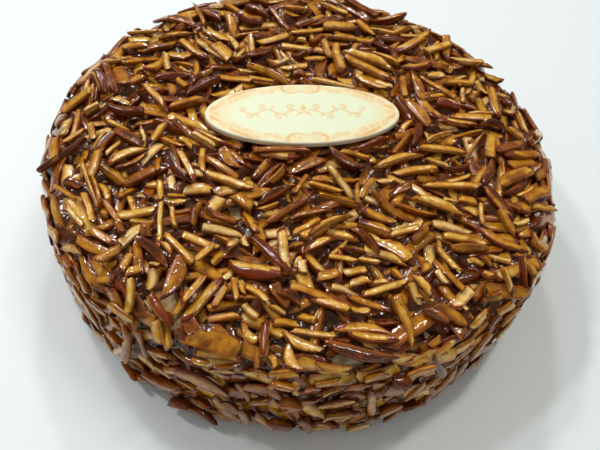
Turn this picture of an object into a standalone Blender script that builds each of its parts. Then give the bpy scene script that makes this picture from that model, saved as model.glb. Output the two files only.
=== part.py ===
"""Round genoise cake, masked with cream and coated all over with caramelised almond slivers.

A thin oval white-chocolate plaque lies on the almonds, a little behind the middle of the top.
The frame stands on the middle of the cake's flat underside: +Z up, +X along the plaque. Metres.
"""

import math
import random

import bmesh
import bpy
from mathutils import Matrix, Vector

MM = 0.001

# The cream-masked cake under the almonds
CAKE_RADIUS = 88.5 * MM
CAKE_HEIGHT = 44.0 * MM
RIM_ROUND = 6.5 * MM
BASE_CHAMFER = 0.8 * MM
CAKE_SEGMENTS = 60
RIM_STEPS = 3

# Almond slivers: kinds of length, the largest first, each with its width, thickness and number
SLIVER_KINDS = (
    {"length": 20.5 * MM, "width": 4.6 * MM, "thickness": 3.4 * MM, "wanted": 125},
    {"length": 17.0 * MM, "width": 3.9 * MM, "thickness": 3.1 * MM, "wanted": 150},
    {"length": 13.0 * MM, "width": 3.5 * MM, "thickness": 2.9 * MM, "wanted": 120},
    {"length": 8.5 * MM, "width": 3.2 * MM, "thickness": 2.7 * MM, "wanted": 80},
)
SIZE_SPREAD = 0.10          # each size varies by this share either way
WIDEST_AT = 0.08            # a sliver's widest place, as a share of its length past its middle
BLUNT_END = 0.72            # the blunt end's width and thickness, as a share of the widest place's
POINT_WIDTH = 0.45          # width of the thin edge at the pointed end, as such a share
POINT_HEIGHT = 0.3          # height of that edge above the sliver's lower face
SLIVER_SINK = 1.0 * MM      # how deep the lower end sits in the cream
MOST_TILT = math.radians(13)
SIDE_LEAN = math.radians(28)    # spread of a side sliver's angle to the horizontal
RIM_LEAN = math.radians(38)
CLEARANCE = 3.7 * MM        # between the centre lines of neighbours
REACH = 26 * MM             # slivers farther apart than this can't meet
THROWS_PER_KIND = 14000
FLOOR_GAP = 0.4 * MM        # a side sliver ends this far above the table
PROBES = 5                  # points along a centre line that the spacing is tested at

# White-chocolate plaque
PLAQUE_LENGTH = 72.0 * MM
PLAQUE_WIDTH = 31.0 * MM
PLAQUE_THICKNESS = 2.4 * MM
PLAQUE_CENTRE = Vector((-0.5 * MM, 8.7 * MM))
PLAQUE_LIFT = 5.2 * MM      # from the cream up to the plaque's underside
PLAQUE_EDGE = 0.7 * MM      # rounding of its edges
PLAQUE_SEGMENTS = 72
REST_GAP = 0.3 * MM
PLAQUE_MARGIN = 2.0 * MM    # slivers this near the plaque's outline stay low enough to clear it

# Pairs of crossed slivers that carry the plaque: place on the plaque as a share of its half sizes
PROP_PLACES = ((-0.62, -0.10), (-0.20, 0.42), (0.14, -0.48), (0.60, 0.16))
PROP_LENGTH = 15.0 * MM
PROP_WIDTH = 4.0 * MM
PROP_OVERLAP = 0.4 * MM
PROP_HEADING = math.radians(25)     # of the first pair, and each next pair turned on from it
PROP_NEXT = math.radians(70)
PROP_CROSSING = math.radians(80)    # between the two slivers of a pair

SHARP_EDGE = math.radians(30)
SEED = 20

TOP_RUN = CAKE_RADIUS - RIM_ROUND           # along the profile, from the middle to the rim
RIM_RUN = RIM_ROUND * math.pi / 2
SIDE_RUN = CAKE_HEIGHT - RIM_ROUND
PROFILE_RUN = TOP_RUN + RIM_RUN + SIDE_RUN
PLAQUE_BOTTOM = CAKE_HEIGHT + PLAQUE_LIFT


def clear_scene():
    for old in list(bpy.data.objects):
        bpy.data.objects.remove(old, do_unlink=True)


def material(name, colour, roughness, metallic=0.0):
    made = bpy.data.materials.new(name)
    made.use_nodes = True
    shader = made.node_tree.nodes["Principled BSDF"]
    shader.inputs["Base Color"].default_value = (*colour, 1.0)
    shader.inputs["Roughness"].default_value = roughness
    shader.inputs["Metallic"].default_value = metallic
    return made


def object_from(name, points, faces, collection=None):
    mesh = bpy.data.meshes.new(name)
    mesh.from_pydata(points, [], faces)
    mesh.update()
    made = bpy.data.objects.new(name, mesh)
    (collection or bpy.context.scene.collection).objects.link(made)
    return made


def profile_point(run):
    """(radius, height, slope) of the cake's surface at a run along it, its slope 90 degrees on the side."""
    if run <= TOP_RUN:
        return run, CAKE_HEIGHT, 0.0
    if run <= TOP_RUN + RIM_RUN:
        slope = (run - TOP_RUN) / RIM_ROUND
        radius = TOP_RUN + RIM_ROUND * math.sin(slope)
        return radius, CAKE_HEIGHT - RIM_ROUND * (1 - math.cos(slope)), slope
    return CAKE_RADIUS, SIDE_RUN - (run - TOP_RUN - RIM_RUN), math.pi / 2


def surface_frame(run, turn):
    """The point there, its outward normal, the way round the cake and the way down the profile."""
    radius, height, slope = profile_point(run)
    outward = Vector((math.cos(turn), math.sin(turn), 0))
    up = Vector((0, 0, 1))
    point = outward * radius + up * height
    normal = outward * math.sin(slope) + up * math.cos(slope)
    around = Vector((-math.sin(turn), math.cos(turn), 0))
    return point, normal, around, around.cross(normal)


def turned_outline():
    """The cake's half outline from the middle of the top to the middle of the underside."""
    outline = [(TOP_RUN / 2, CAKE_HEIGHT)]
    for step in range(RIM_STEPS + 1):
        radius, height, _ = profile_point(TOP_RUN + RIM_RUN * step / RIM_STEPS)
        outline.append((radius, height))
    outline.append((CAKE_RADIUS, BASE_CHAMFER))
    outline.append((CAKE_RADIUS - BASE_CHAMFER, 0.0))
    return outline


def turned_solid(name, outline, top, segments):
    """A closed solid turned about Z, with one point in the middle of the top and a flat underside."""
    points = [(0.0, 0.0, top)]
    for radius, height in outline:
        for step in range(segments):
            turn = math.tau * step / segments
            points.append((radius * math.cos(turn), radius * math.sin(turn), height))
    faces = []
    for step in range(segments):
        following = (step + 1) % segments
        faces.append((0, 1 + step, 1 + following))
        for ring in range(len(outline) - 1):
            upper, lower = 1 + ring * segments, 1 + (ring + 1) * segments
            faces.append((upper + step, lower + step, lower + following, upper + following))
    last = 1 + (len(outline) - 1) * segments
    faces.append(tuple(last + step for step in reversed(range(segments))))
    return object_from(name, points, faces)


def sliver_shape(length, width, thickness):
    """Points and faces of one sliver: X along it from the blunt end, Z up from its flat lower face."""
    half = length / 2
    points = []
    for along, share in ((-half, BLUNT_END), (length * WIDEST_AT, 1.0)):
        across, high = width / 2 * share, thickness * share
        points += [(along, -across, 0), (along, across, 0), (along, across, high), (along, -across, high)]
    tip, edge_height = width / 2 * POINT_WIDTH, thickness * POINT_HEIGHT
    points += [(half, -tip, edge_height), (half, tip, edge_height)]
    faces = [(0, 3, 2, 1)]
    faces += [(side, (side + 1) % 4, 4 + (side + 1) % 4, 4 + side) for side in range(4)]
    faces += [(4, 5, 9, 8), (5, 6, 9), (6, 7, 8, 9), (7, 4, 8)]
    return [Vector(p) for p in points], faces


def tilted_frame(point, normal, along, tilt, lift):
    """A sliver's matrix: its lower face is lift above the point, and its far end is raised by tilt."""
    across = normal.cross(along).normalized()
    along = (Matrix.Rotation(-tilt, 3, across) @ along).normalized()
    upright = along.cross(across)
    frame = Matrix((along, across, upright)).transposed().to_4x4()
    frame.translation = point + normal * lift
    return frame


def in_plaque(place, margin):
    """True if a point of the top lies under the plaque or within margin of its outline."""
    across = (place.x - PLAQUE_CENTRE.x) / (PLAQUE_LENGTH / 2 + margin)
    along = (place.y - PLAQUE_CENTRE.y) / (PLAQUE_WIDTH / 2 + margin)
    return across * across + along * along < 1


def centre_line(frame, length):
    return [frame @ Vector(((i / (PROBES - 1) - 0.5) * length, 0, 0)) for i in range(PROBES)]


def far_from(line, taken, clearance):
    least = clearance * clearance
    return all((p - q).length_squared >= least for p in line for q in taken)


def nearby(point, lines):
    """The probe points of the slivers whose middle lies within reach of a point."""
    return [p for line in lines if (line[PROBES // 2] - point).length < REACH for p in line]


def thrown_sliver(draw, kind):
    """A random sliver of one kind: its matrix, points and faces."""
    sizes = (kind["length"], kind["width"], kind["thickness"])
    length, width, thickness = (size * draw.uniform(1 - SIZE_SPREAD, 1 + SIZE_SPREAD) for size in sizes)
    run = draw.uniform(0, PROFILE_RUN)
    while draw.random() > profile_point(run)[0] / CAKE_RADIUS:
        run = draw.uniform(0, PROFILE_RUN)
    point, normal, around, down = surface_frame(run, draw.uniform(0, math.tau))
    if run < TOP_RUN:
        heading = draw.uniform(0, math.tau)
    else:
        heading = draw.gauss(0, RIM_LEAN if run < TOP_RUN + RIM_RUN else SIDE_LEAN)
    along = around * math.cos(heading) + down * math.sin(heading)
    if draw.random() < 0.5:
        along = -along
    tilt = draw.uniform(0, MOST_TILT)
    if run < TOP_RUN and in_plaque(point, PLAQUE_MARGIN + length / 2):
        tilt = 0.0
    lift = math.sin(tilt) * length / 2 - SLIVER_SINK
    return tilted_frame(point, normal, along, tilt, lift), length, sliver_shape(length, width, thickness)


def lay_slivers(draw, add, taken):
    """Throws slivers at the cake, the largest kind first, and keeps those clear of the ones there."""
    lines = list(taken)
    for kind in SLIVER_KINDS:
        kept = 0
        for _ in range(THROWS_PER_KIND):
            frame, length, (points, faces) = thrown_sliver(draw, kind)
            placed = [frame @ p for p in points]
            if min(p.z for p in placed) < FLOOR_GAP:
                continue
            line = centre_line(frame, length)
            if not far_from(line, nearby(line[PROBES // 2], lines), CLEARANCE):
                continue
            lines.append(line)
            add(placed, faces)
            kept += 1
            if kept == kind["wanted"]:
                break


def prop_slivers(add):
    """Crossed pairs under the plaque: the upper sliver's top is just below the plaque's underside."""
    lines = []
    upper_top = PLAQUE_LIFT - REST_GAP
    for number, (along_share, across_share) in enumerate(PROP_PLACES):
        place = Vector((
            PLAQUE_CENTRE.x + along_share * PLAQUE_LENGTH / 2,
            PLAQUE_CENTRE.y + across_share * PLAQUE_WIDTH / 2,
            CAKE_HEIGHT,
        ))
        heading = PROP_HEADING + number * PROP_NEXT
        thickness = (upper_top + SLIVER_SINK + PROP_OVERLAP) / 2
        for layer in range(2):
            turn = heading + layer * PROP_CROSSING
            along = Vector((math.cos(turn), math.sin(turn), 0))
            lift = -SLIVER_SINK + layer * (thickness - PROP_OVERLAP)
            frame = tilted_frame(place, Vector((0, 0, 1)), along, 0.0, lift)
            points, faces = sliver_shape(PROP_LENGTH, PROP_WIDTH, thickness)
            add([frame @ p for p in points], faces)
            lines.append(centre_line(frame, PROP_LENGTH))
    return lines


def outer_shell(mesh):
    """Keeps only the largest connected surface: it drops loose scraps and fills sealed hollows."""
    work = bmesh.new()
    work.from_mesh(mesh)
    unseen = set(work.faces)
    shells = []
    while unseen:
        front = [unseen.pop()]
        shell = set(front)
        while front:
            near = {f for edge in front.pop().edges for f in edge.link_faces} & unseen
            unseen -= near
            shell |= near
            front.extend(near)
        shells.append(shell)
    largest = max(shells, key=len)
    bmesh.ops.delete(work, geom=[f for f in work.faces if f not in largest], context="FACES")
    work.to_mesh(mesh)
    work.free()


def fuse(base, parts):
    """One Boolean union of base with the collection of parts, applied, and the parts removed."""
    union = base.modifiers.new("fuse", "BOOLEAN")
    union.operation = "UNION"
    union.solver = "MANIFOLD"
    union.operand_type = "COLLECTION"
    union.collection = parts
    graph = bpy.context.evaluated_depsgraph_get()
    fused = bpy.data.meshes.new_from_object(base.evaluated_get(graph))
    base.modifiers.clear()
    base.data = fused
    for part in list(parts.objects):
        bpy.data.objects.remove(part, do_unlink=True)
    bpy.data.collections.remove(parts)
    outer_shell(fused)


def build_cake():
    cake = turned_solid("cake", turned_outline(), CAKE_HEIGHT, CAKE_SEGMENTS)
    slivers = bpy.data.collections.new("slivers")
    bpy.context.scene.collection.children.link(slivers)
    draw = random.Random(SEED)

    def add(points, faces):
        object_from(f"sliver_{len(slivers.objects):03d}", points, faces, slivers)

    lay_slivers(draw, add, prop_slivers(add))
    fuse(cake, slivers)
    cake.data.materials.clear()
    cake.data.materials.append(material("caramelised_almond", (0.45, 0.19, 0.045), 0.3))
    return cake


def build_plaque():
    """An elliptical disc with rounded edges, lying level on the almonds."""
    edge = PLAQUE_EDGE
    levels = ((0.0, edge), (edge, 0.0), (PLAQUE_THICKNESS - edge, 0.0), (PLAQUE_THICKNESS, edge))
    points = []
    for height, inset in levels:
        for step in range(PLAQUE_SEGMENTS):
            turn = math.tau * step / PLAQUE_SEGMENTS
            points.append((
                (PLAQUE_LENGTH / 2 - inset) * math.cos(turn),
                (PLAQUE_WIDTH / 2 - inset) * math.sin(turn),
                height,
            ))
    faces = [tuple(reversed(range(PLAQUE_SEGMENTS)))]
    for level in range(len(levels) - 1):
        lower, upper = level * PLAQUE_SEGMENTS, (level + 1) * PLAQUE_SEGMENTS
        for step in range(PLAQUE_SEGMENTS):
            following = (step + 1) % PLAQUE_SEGMENTS
            faces.append((lower + step, lower + following, upper + following, upper + step))
    faces.append(tuple(range((len(levels) - 1) * PLAQUE_SEGMENTS, len(levels) * PLAQUE_SEGMENTS)))
    plaque = object_from("plaque", points, faces)
    plaque.location = (*PLAQUE_CENTRE, PLAQUE_BOTTOM)
    plaque.data.materials.append(material("white_chocolate", (0.90, 0.84, 0.58), 0.4))
    plaque.data.shade_smooth()
    plaque.data.set_sharp_from_angle(angle=SHARP_EDGE)
    return plaque


clear_scene()
build_cake()
build_plaque()
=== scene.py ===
"""Looks of a round genoise cake, masked with coffee cream and coated with caramelised almond slivers.

The slivers are cut from almonds, as real ones are: each is the part of an almond that a box-shaped
cut takes out, so its ends taper and its outer faces carry skin. They are then laid on the cream one
by one, each settling on what lies under it. Places are in the frame's coordinates: +Z up, +X along
the plaque, the cake's underside at z = 0. The cake is worked out in millimetres; the meshes made from
it, the lights and the table are in metres.
"""

import math

import bpy
import numpy as np
from mathutils import Matrix, Vector, noise


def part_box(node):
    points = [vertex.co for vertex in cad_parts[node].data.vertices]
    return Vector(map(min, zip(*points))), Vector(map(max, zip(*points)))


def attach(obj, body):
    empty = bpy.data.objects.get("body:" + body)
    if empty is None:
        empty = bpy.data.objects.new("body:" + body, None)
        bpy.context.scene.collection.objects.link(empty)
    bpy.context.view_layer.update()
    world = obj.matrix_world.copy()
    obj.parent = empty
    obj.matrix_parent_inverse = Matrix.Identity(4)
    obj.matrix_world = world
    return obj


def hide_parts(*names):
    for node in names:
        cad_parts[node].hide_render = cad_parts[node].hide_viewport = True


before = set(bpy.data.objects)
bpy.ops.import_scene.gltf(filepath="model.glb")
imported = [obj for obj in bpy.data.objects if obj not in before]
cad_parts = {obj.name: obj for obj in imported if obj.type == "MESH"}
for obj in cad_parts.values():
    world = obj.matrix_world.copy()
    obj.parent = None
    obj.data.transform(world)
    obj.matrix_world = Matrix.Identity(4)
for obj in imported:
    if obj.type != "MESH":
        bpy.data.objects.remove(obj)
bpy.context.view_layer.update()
PLAQUE_LOW, PLAQUE_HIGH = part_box("plaque")

MM = 0.001
SEED = 7

# The cream under the almonds, in millimetres
CREAM_RADIUS = 88.5
CREAM_HEIGHT = 44.0
RIM_ROUND = 6.5
BASE_CHAMFER = 0.8
CREAM_WAVE = 0.35           # unevenness of the spread cream
CREAM_SEGMENTS = 240
TOP_RUN = CREAM_RADIUS - RIM_ROUND
RIM_RUN = RIM_ROUND * math.pi / 2
SIDE_RUN = CREAM_HEIGHT - RIM_ROUND
PROFILE_RUN = TOP_RUN + RIM_RUN + SIDE_RUN

# A whole almond, in millimetres
ALMOND_LENGTH = 20.0
ALMOND_WIDTH = 11.8
ALMOND_THICKNESS = 8.2
ALMOND_SPREAD = 0.14        # sizes vary by this share either way
POINTEDNESS = 0.30          # how much slimmer the pointed half is
CUT_EDGE = (0.10, 0.32)     # softness of a cut edge under its glaze, from crisp to well coated
CUT_SKEW = 0.18             # how far a cut is out of square
CUT_SLOPE = 0.08            # how far a cut runs off the almond's axis
CUT_ROUGH = 0.05            # unevenness of the cut faces
BREAK_EASE = 0.7            # share of a kind's breakage that one end reaches at most
MOST_BROKEN = 0.75          # largest share of a sliver's length that is broken off
END_SIZES = (0.55, 0.92)    # sizes of a sliver's end rings, as shares of the full ones
NEXT_SIZES = (0.90, 1.0)    # and of the rings next to them
END_EDGES = 0.7             # how far the end rings count as edges
SLANT = 0.7                 # most that the ends are cut at a slant
TWIST = 0.10                # spread of a sliver's twist, in radians
BENDS = ((0.45, 0.10, 5.0), (0.25, 0.07, 6.0))  # bend, and depth and pace of ripples, across and through
SKIN_SHARPNESS = 5.0        # how fast the mark of skin changes over its border
STATIONS = 9                # rings along a sliver

# Kinds of sliver. The cut's middle and half sizes are in millimetres across and through the almond,
# each a range that a sliver's own value is drawn from. Broken is how much of its length breaks off at
# most, tone goes from pale to burnt, and corners counts extra points on each broad side.
KINDS = {
    "almond_golden": {
        "share": 0.31, "middle": ((0.5, 3.5), (0.2, 2.0)), "half": ((1.25, 2.05), (0.8, 1.3)),
        "broken": 0.34, "tone": (-0.05, 0.50), "corners": 1,
    },
    "almond_amber": {
        "share": 0.19, "middle": ((0.5, 3.5), (0.2, 2.1)), "half": ((1.25, 2.05), (0.8, 1.3)),
        "broken": 0.34, "tone": (0.40, 0.92), "corners": 1,
    },
    "almond_skinned": {
        "share": 0.20, "middle": ((3.7, 4.8), (0.0, 1.8)), "half": ((1.4, 2.0), (1.1, 1.7)),
        "broken": 0.20, "tone": (0.25, 0.95), "corners": 1,
    },
    "almond_halfmoons": {
        "share": 0.09, "middle": ((2.4, 4.0), (0.0, 1.3)), "half": ((1.8, 2.8), (0.7, 1.1)),
        "broken": 0.15, "tone": (0.05, 0.70), "corners": 3,
    },
    "almond_domes": {
        "share": 0.025, "middle": ((0.0, 1.4), (3.0, 3.3)), "half": ((2.1, 3.2), (1.6, 1.9)),
        "broken": 0.12, "tone": (0.2, 0.9), "corners": 3,
    },
    "almond_chips": {
        "share": 0.19, "middle": ((0.0, 3.4), (0.0, 2.2)), "half": ((1.1, 1.9), (0.7, 1.25)),
        "broken": 0.85, "tone": (-0.1, 0.9), "corners": 1,
    },
    "almond_splinters": {
        "share": 0.0, "middle": ((0.0, 3.4), (0.0, 2.2)), "half": ((0.9, 1.6), (0.6, 1.0)),
        "broken": 0.75, "tone": (0.0, 0.8), "corners": 1,
    },
}
BROAD = ("almond_halfmoons", "almond_domes")
BARKED = ("almond_skinned", "almond_domes")     # these tend to lie with their skin upwards
BARK_TURN = 0.8             # and how far round from there it may be, in radians
LEAST_SHARE = 1e-6          # added to every kind's share, for the kind that is laid only at the end

# How they lie
FIRST_SLIVERS = 1850        # laid before the drawn ones
SLIVERS = 2350              # laid with the drawn ones
SPLINTERS = 440             # small ones that fill the gaps in the end
SPLINTER_TRIES = 14
TRIES = 6                   # places looked at for each sliver; the lowest is taken
NUDGES = 12                 # small moves tried from there, each kept if it settles the sliver lower
NUDGE = 1.6                 # size of such a move
NUDGE_TURN = math.radians(14)
GIVE_UP = 3600              # slivers tried before the rest are left out
LIES_FLAT = 0.64            # share of the narrow ones that lie on a broad side
BEARS_ALONG = 1.7           # how far along it a ring of a sliver rests on others
PAST_ENDS = 6.0             # how far past its ends they are looked for
FLANK_DROP = 0.4            # how much lower a sliver bears at its flank than along its ridge
NOWHERE = -99.0             # a height under everything
SINK = 1.0                  # how deep a sliver presses into the cream
SIDE_SINK = 1.5             # and on the side, where they are patted on
BITE = 0.35                 # how far touching slivers share their glaze
SIDE_BITE = 0.8             # share of their widths at which slivers side by side pass each other
COAT = 7.8                  # highest that they stand above the cream on the top
SIDE_COAT = 6.4             # and on the rim and side
MOST_TILT = math.tan(math.radians(30))
SIDE_TILT = math.tan(math.radians(16))
ROLL = 0.12                 # spread of their roll about their length, in radians
TILT_STEPS = 15
TILT_DISLIKE = 0.6          # how much higher a sliver lies rather than tilt, for each unit of slope
TOP_TILTS = np.linspace(-MOST_TILT, MOST_TILT, TILT_STEPS)
SIDE_TILTS = np.linspace(-SIDE_TILT, SIDE_TILT, TILT_STEPS)
SIDE_FORM = np.array((1.05, 1.35, 0.85))    # the side takes broader, flatter slivers
SIDE_LEAN = math.radians(24)                # spread of their headings there about the way round
RIM_LEAN = math.radians(50)                 # and on the rim
FLOOR_GAP = 0.5             # least height over the table
SIDE_TONE_AND_SHADE = 0.04            # the side's slivers are toned darker: more caramelised, and painted shade of the side away from the light

# Crumbs of almond stuck among the slivers
CRUMBS = 240
CRUMB_SIZES = (1.0, 2.4)    # their lengths
CRUMB_SLOPE = 0.5           # spread of their tilts
CRUMB_SINK = 0.40           # how deep they press into the coat
CRUMB_ENDS = (-0.5, -0.4, 0.4, 0.5)         # places of their rings, as shares of their lengths
CRUMB_TURNS = (0.4, 0.9, 2.3, 3.5, 4.0, 5.6)    # angles of the points round a ring
CRUMB_WIDTHS = (0.32, 0.6)  # half widths and half thicknesses, as shares of the length
CRUMB_DEPTHS = (0.12, 0.24)
CRUMB_TONES = (0.0, 0.7)
CRUMB_SKINNED = 0.12        # share of them with skin
CRUMB_SUNK = 0.3            # how far they count as a sliver's lower side
CRUMB_EDGES = (1.0, 0.3, 0.3, 1.0)          # and how far each ring counts as an edge
CRUMB_GRAIN = 5.3           # from one crumb's grain to the next one's
CRUMB_LOWEST = 0.3          # least height over the cream
CRUMB_FLOOR = 2.0           # and over the table
CRUMB_MARGIN = 2.0          # least gap to the plaque

# Caramel between the slivers, in millimetres: it stands against their sides and sinks in wide gaps
WEB_STEP = 0.72             # between the points of its surface
WEBS = ((1, 1.8), (2, 3.2), (3, 4.5))       # steps of gap that it bridges, and how far below their tops
WEB_SPREAD = 7              # steps over which the coat is averaged
WEB_RISE = -1.7             # most that caramel stands over that average
WEB_RELIEF = 2.8            # unevenness of both
POOL_DEPTH = 0.75           # its mean height over the cream where nothing holds it up
POOL_RELIEF = 1.3
POOL_LUMPS = 0.16           # how closely its lumps follow each other
POOL_SHIFT = 40             # steps by which the pools' lumps differ from the webs'
BARE_DEPTH = -1.2           # its height in the patches where the cream shows
BARE_SLOPE = 3.0            # and how fast it rises round them
BARE_RAGGED = 0.35          # how finely their outlines wander
BARE_SIZES = (1.1, 1.3)     # their size as a share of the drawn one, and how far it wanders
BARE_LEAST = 0.1            # and its least
UNKNOWN = -9.0              # a level under everything
SIDE_START = TOP_RUN - 2.0  # where the side's share of the caramel starts, under the edge of the top's
CARAMEL_GAP = 0.2           # its least height over the table

PLAQUE_GAP = 0.25           # least gap between the plaque and what lies under it
PLAQUE_MARGIN = 0.8         # and round it


# The camera, as the photo shows the cake: lengths in millimetres, angles in radians
PLAQUE_TURN = math.radians(12.29)       # the plaque's turn on the cake
CAMERA_DOWN = 0.9228                    # how far the camera looks down
CAMERA_DISTANCE = 240.86
CAMERA_TARGET = (1.948, -22.471, 24.43)
CAMERA_ROLL = 0.1389
FOCAL_PIXELS = 649.2
IMAGE_WIDTH = 600
IMAGE_HEIGHT = 450
SENSOR = 36.0
SIGHT_STEPS = 80                        # steps along a line of sight to where it meets the cake

# Patches where the coat is thin and the cream shows: pixel in the photo, and radius in millimetres
CREAM_PATCHES = (
    ((170, 301), 4.0), ((176, 312), 3.0), ((217, 290), 2.4), ((235, 214), 2.2),
    ((344, 358), 2.6), ((356, 361), 2.4), ((429, 334), 1.5), ((262, 338), 1.6),
)
SIGHT_LENGTH = 14.0                     # how far out from the cream a patch is kept clear
SIGHT_SHARE = 0.6                       # and over how much of its radius

# Slivers that lie uppermost in the photo, drawn over it. Each entry has the pixels of both
# ends (x, y, x, y), the width in pixels and the tone. A half moon's skin is on the right of the way
# from the first end to the second. The later ones lie over the earlier.
UPPER = {
    "stick": (
        (64, 147, 88, 132, 6, 0.3), (106, 155, 118, 139, 8, 0.25), (115, 171, 149, 156, 7, 0.6),
        (115, 199, 139, 179, 6.5, 0.5), (99, 180, 110, 200, 8, 0.2), (104, 200, 124, 230, 7, 0.6),
        (52, 181, 83, 208, 7, 0.4), (84, 190, 93, 223, 8, 0.35), (68, 206, 81, 226, 7, 0.1),
        (130, 195, 134, 215, 7, 0.3), (65, 180, 81, 186, 9, 0.85), (160, 179, 160, 200, 7, 0.2),
        (162, 200, 157, 240, 7, 0.15), (159, 152, 156, 173, 7, 0.5), (87, 228, 120, 246, 9, 0.5),
        (114, 225, 126, 236, 8, 0.7), (121, 271, 133, 250, 9, 0.35), (135, 238, 142, 275, 12, 0.45),
        (148, 266, 161, 266, 6, 0.1), (77, 275, 87, 295, 9, 0.55), (96, 283, 115, 275, 12, 0.45),
        (88, 298, 106, 316, 10, 0.6), (106, 306, 133, 322, 10, 0.3), (65, 255, 71, 268, 8, 0.7),
        (160, 240, 176, 254, 9, 0.05), (165, 232, 178, 241, 7, 0.3), (174, 313, 190, 291, 9, 0.35),
        (169, 174, 175, 189, 9, -0.1), (233, 196, 255, 207, 12, 0.5), (252, 176, 273, 161, 8, 0.55),
        (208, 214, 225, 198, 14, 0.0), (166, 194, 186, 193, 7, 0.3), (256, 211, 280, 205, 4, 0.2),
        (211, 217, 238, 224, 8, 0.75), (164, 233, 195, 264, 9, 0.3), (211, 262, 225, 254, 8, 0.25),
        (243, 240, 246, 250, 7, 0.05), (296, 194, 306, 171, 8, 0.5), (312, 179, 337, 183, 8, 0.5),
        (308, 186, 344, 193, 7, 0.35), (360, 198, 373, 174, 9, 0.45), (356, 183, 358, 208, 6, 0.45),
        (286, 220, 333, 210, 7, 0.7), (376, 181, 397, 179, 7, 0.0), (391, 169, 439, 174, 9, 0.3),
        (425, 158, 457, 167, 7, 0.15), (458, 197, 480, 203, 8, 0.3), (392, 236, 423, 222, 9, 0.15),
        (410, 242, 430, 229, 8, 0.7), (495, 212, 516, 236, 9, 0.4), (485, 162, 491, 140, 12, 0.3),
        (464, 158, 485, 134, 5, 0.5), (480, 204, 482, 225, 6, 0.3), (446, 182, 472, 177, 6, 0.2),
        (525, 202, 546, 189, 12, 0.45), (515, 226, 530, 217, 8, 0.0), (527, 147, 537, 136, 9, 0.35),
        (215, 308, 226, 281, 9, 0.35), (233, 280, 237, 305, 6, 0.4), (240, 281, 246, 300, 6, 0.3),
        (268, 306, 287, 311, 6, 0.05), (272, 276, 280, 288, 8, 0.35), (254, 345, 260, 368, 10, 0.5),
        (243, 328, 259, 343, 11, 0.2), (271, 322, 300, 320, 8, 0.3), (271, 283, 288, 308, 12, 0.7),
        (300, 239, 327, 230, 10, 0.2), (388, 236, 419, 228, 9, 0.2), (358, 258, 381, 261, 5, 0.05),
        (317, 275, 341, 274, 14, 0.4), (370, 282, 394, 278, 7, 0.25), (350, 311, 371, 310, 9, 0.2),
        (345, 297, 395, 313, 8, 0.5), (393, 265, 402, 281, 8, 0.35), (391, 300, 408, 322, 14, 0.35),
        (289, 333, 335, 333, 9, 0.25), (346, 335, 398, 343, 9, 0.2), (433, 271, 449, 286, 9, 0.0),
        (482, 273, 496, 278, 7, 0.3), (523, 261, 533, 276, 8, 0.3), (485, 303, 504, 294, 8, 0.3),
        (499, 314, 516, 305, 9, 0.4), (470, 318, 478, 310, 7, 0.05), (471, 256, 485, 264, 9, 0.3),
        (478, 256, 496, 262, 8, 0.4), (531, 235, 545, 253, 14, 0.4), (117, 349, 129, 346, 9, 0.2),
        (125, 329, 133, 356, 10, 0.65), (135, 333, 144, 356, 10, 0.8), (142, 366, 175, 376, 7, 0.5),
        (121, 363, 143, 377, 6, 0.65), (164, 368, 190, 375, 9, 0.35), (143, 373, 184, 391, 12, 0.75),
        (104, 338, 115, 353, 9, 0.5), (147, 353, 168, 358, 6, 0.4), (234, 389, 253, 398, 8, 0.6),
        (253, 403, 272, 398, 8, 0.35), (223, 400, 240, 412, 7, 0.6), (277, 411, 300, 409, 6, 0.5),
        (276, 405, 300, 405, 8, 0.7), (292, 393, 299, 398, 7, 0.0), (177, 405, 220, 419, 12, 0.85),
        (268, 375, 299, 373, 9, 0.35), (267, 391, 286, 386, 6, 0.4), (270, 354, 279, 367, 9, 0.35),
        (259, 375, 268, 371, 6, 0.4), (315, 372, 353, 377, 6, 0.3), (361, 373, 385, 367, 8, 0.5),
        (363, 380, 389, 372, 7, 0.4), (343, 388, 373, 383, 7, 0.75), (315, 388, 343, 382, 7, 0.4),
        (321, 398, 350, 390, 8, 0.5), (317, 410, 353, 398, 9, 0.4), (315, 424, 343, 428, 8, 0.3),
        (303, 416, 312, 431, 9, 0.7), (305, 386, 321, 394, 7, 0.5), (356, 402, 358, 415, 9, 0.6),
        (377, 414, 401, 403, 14, 0.4), (381, 386, 402, 391, 10, 0.65), (405, 375, 433, 365, 14, 0.4),
        (435, 353, 455, 342, 7, 0.3), (431, 347, 445, 338, 8, 0.4), (480, 349, 492, 343, 6, 0.3),
        (440, 385, 460, 365, 7, 0.35), (445, 400, 454, 378, 8, 0.5),
    ),
    "skinned": (
        (65, 230, 80, 239, 8, 0.95), (189, 225, 203, 199, 10, 0.6), (256, 205, 295, 186, 9, 0.9),
        (439, 175, 477, 165, 8, 0.9), (191, 359, 210, 364, 6, 0.2), (213, 364, 243, 367, 6, 0.8),
        (280, 290, 304, 305, 15, 0.9), (340, 248, 367, 253, 5, 0.4), (409, 242, 430, 232, 10, 0.6),
        (420, 289, 436, 303, 12, 0.2), (420, 312, 447, 321, 12, 0.7), (484, 298, 502, 292, 6, 0.8),
        (160, 389, 176, 398, 8, 0.5), (111, 331, 126, 340, 6, 0.7), (192, 398, 210, 405, 8, 0.9),
        (170, 397, 191, 401, 8, 0.4), (272, 382, 298, 386, 9, 0.5), (278, 396, 299, 403, 9, 0.6),
        (271, 417, 299, 428, 12, 0.5), (391, 379, 409, 377, 8, 0.9), (401, 410, 420, 400, 4, 0.8),
        (463, 370, 484, 356, 8, 0.5), (422, 413, 444, 393, 9, 0.6),
    ),
    "halfmoon": (
        (149, 176, 151, 200, 12, 0.7), (220, 152, 242, 170, 14, 0.6), (240, 423, 211, 397, 14, 0.5),
        (402, 400, 419, 383, 12, 0.4), (407, 400, 426, 379, 10, 0.4), (231, 396, 177, 365, 17, 0.55),
    ),
}
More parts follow.
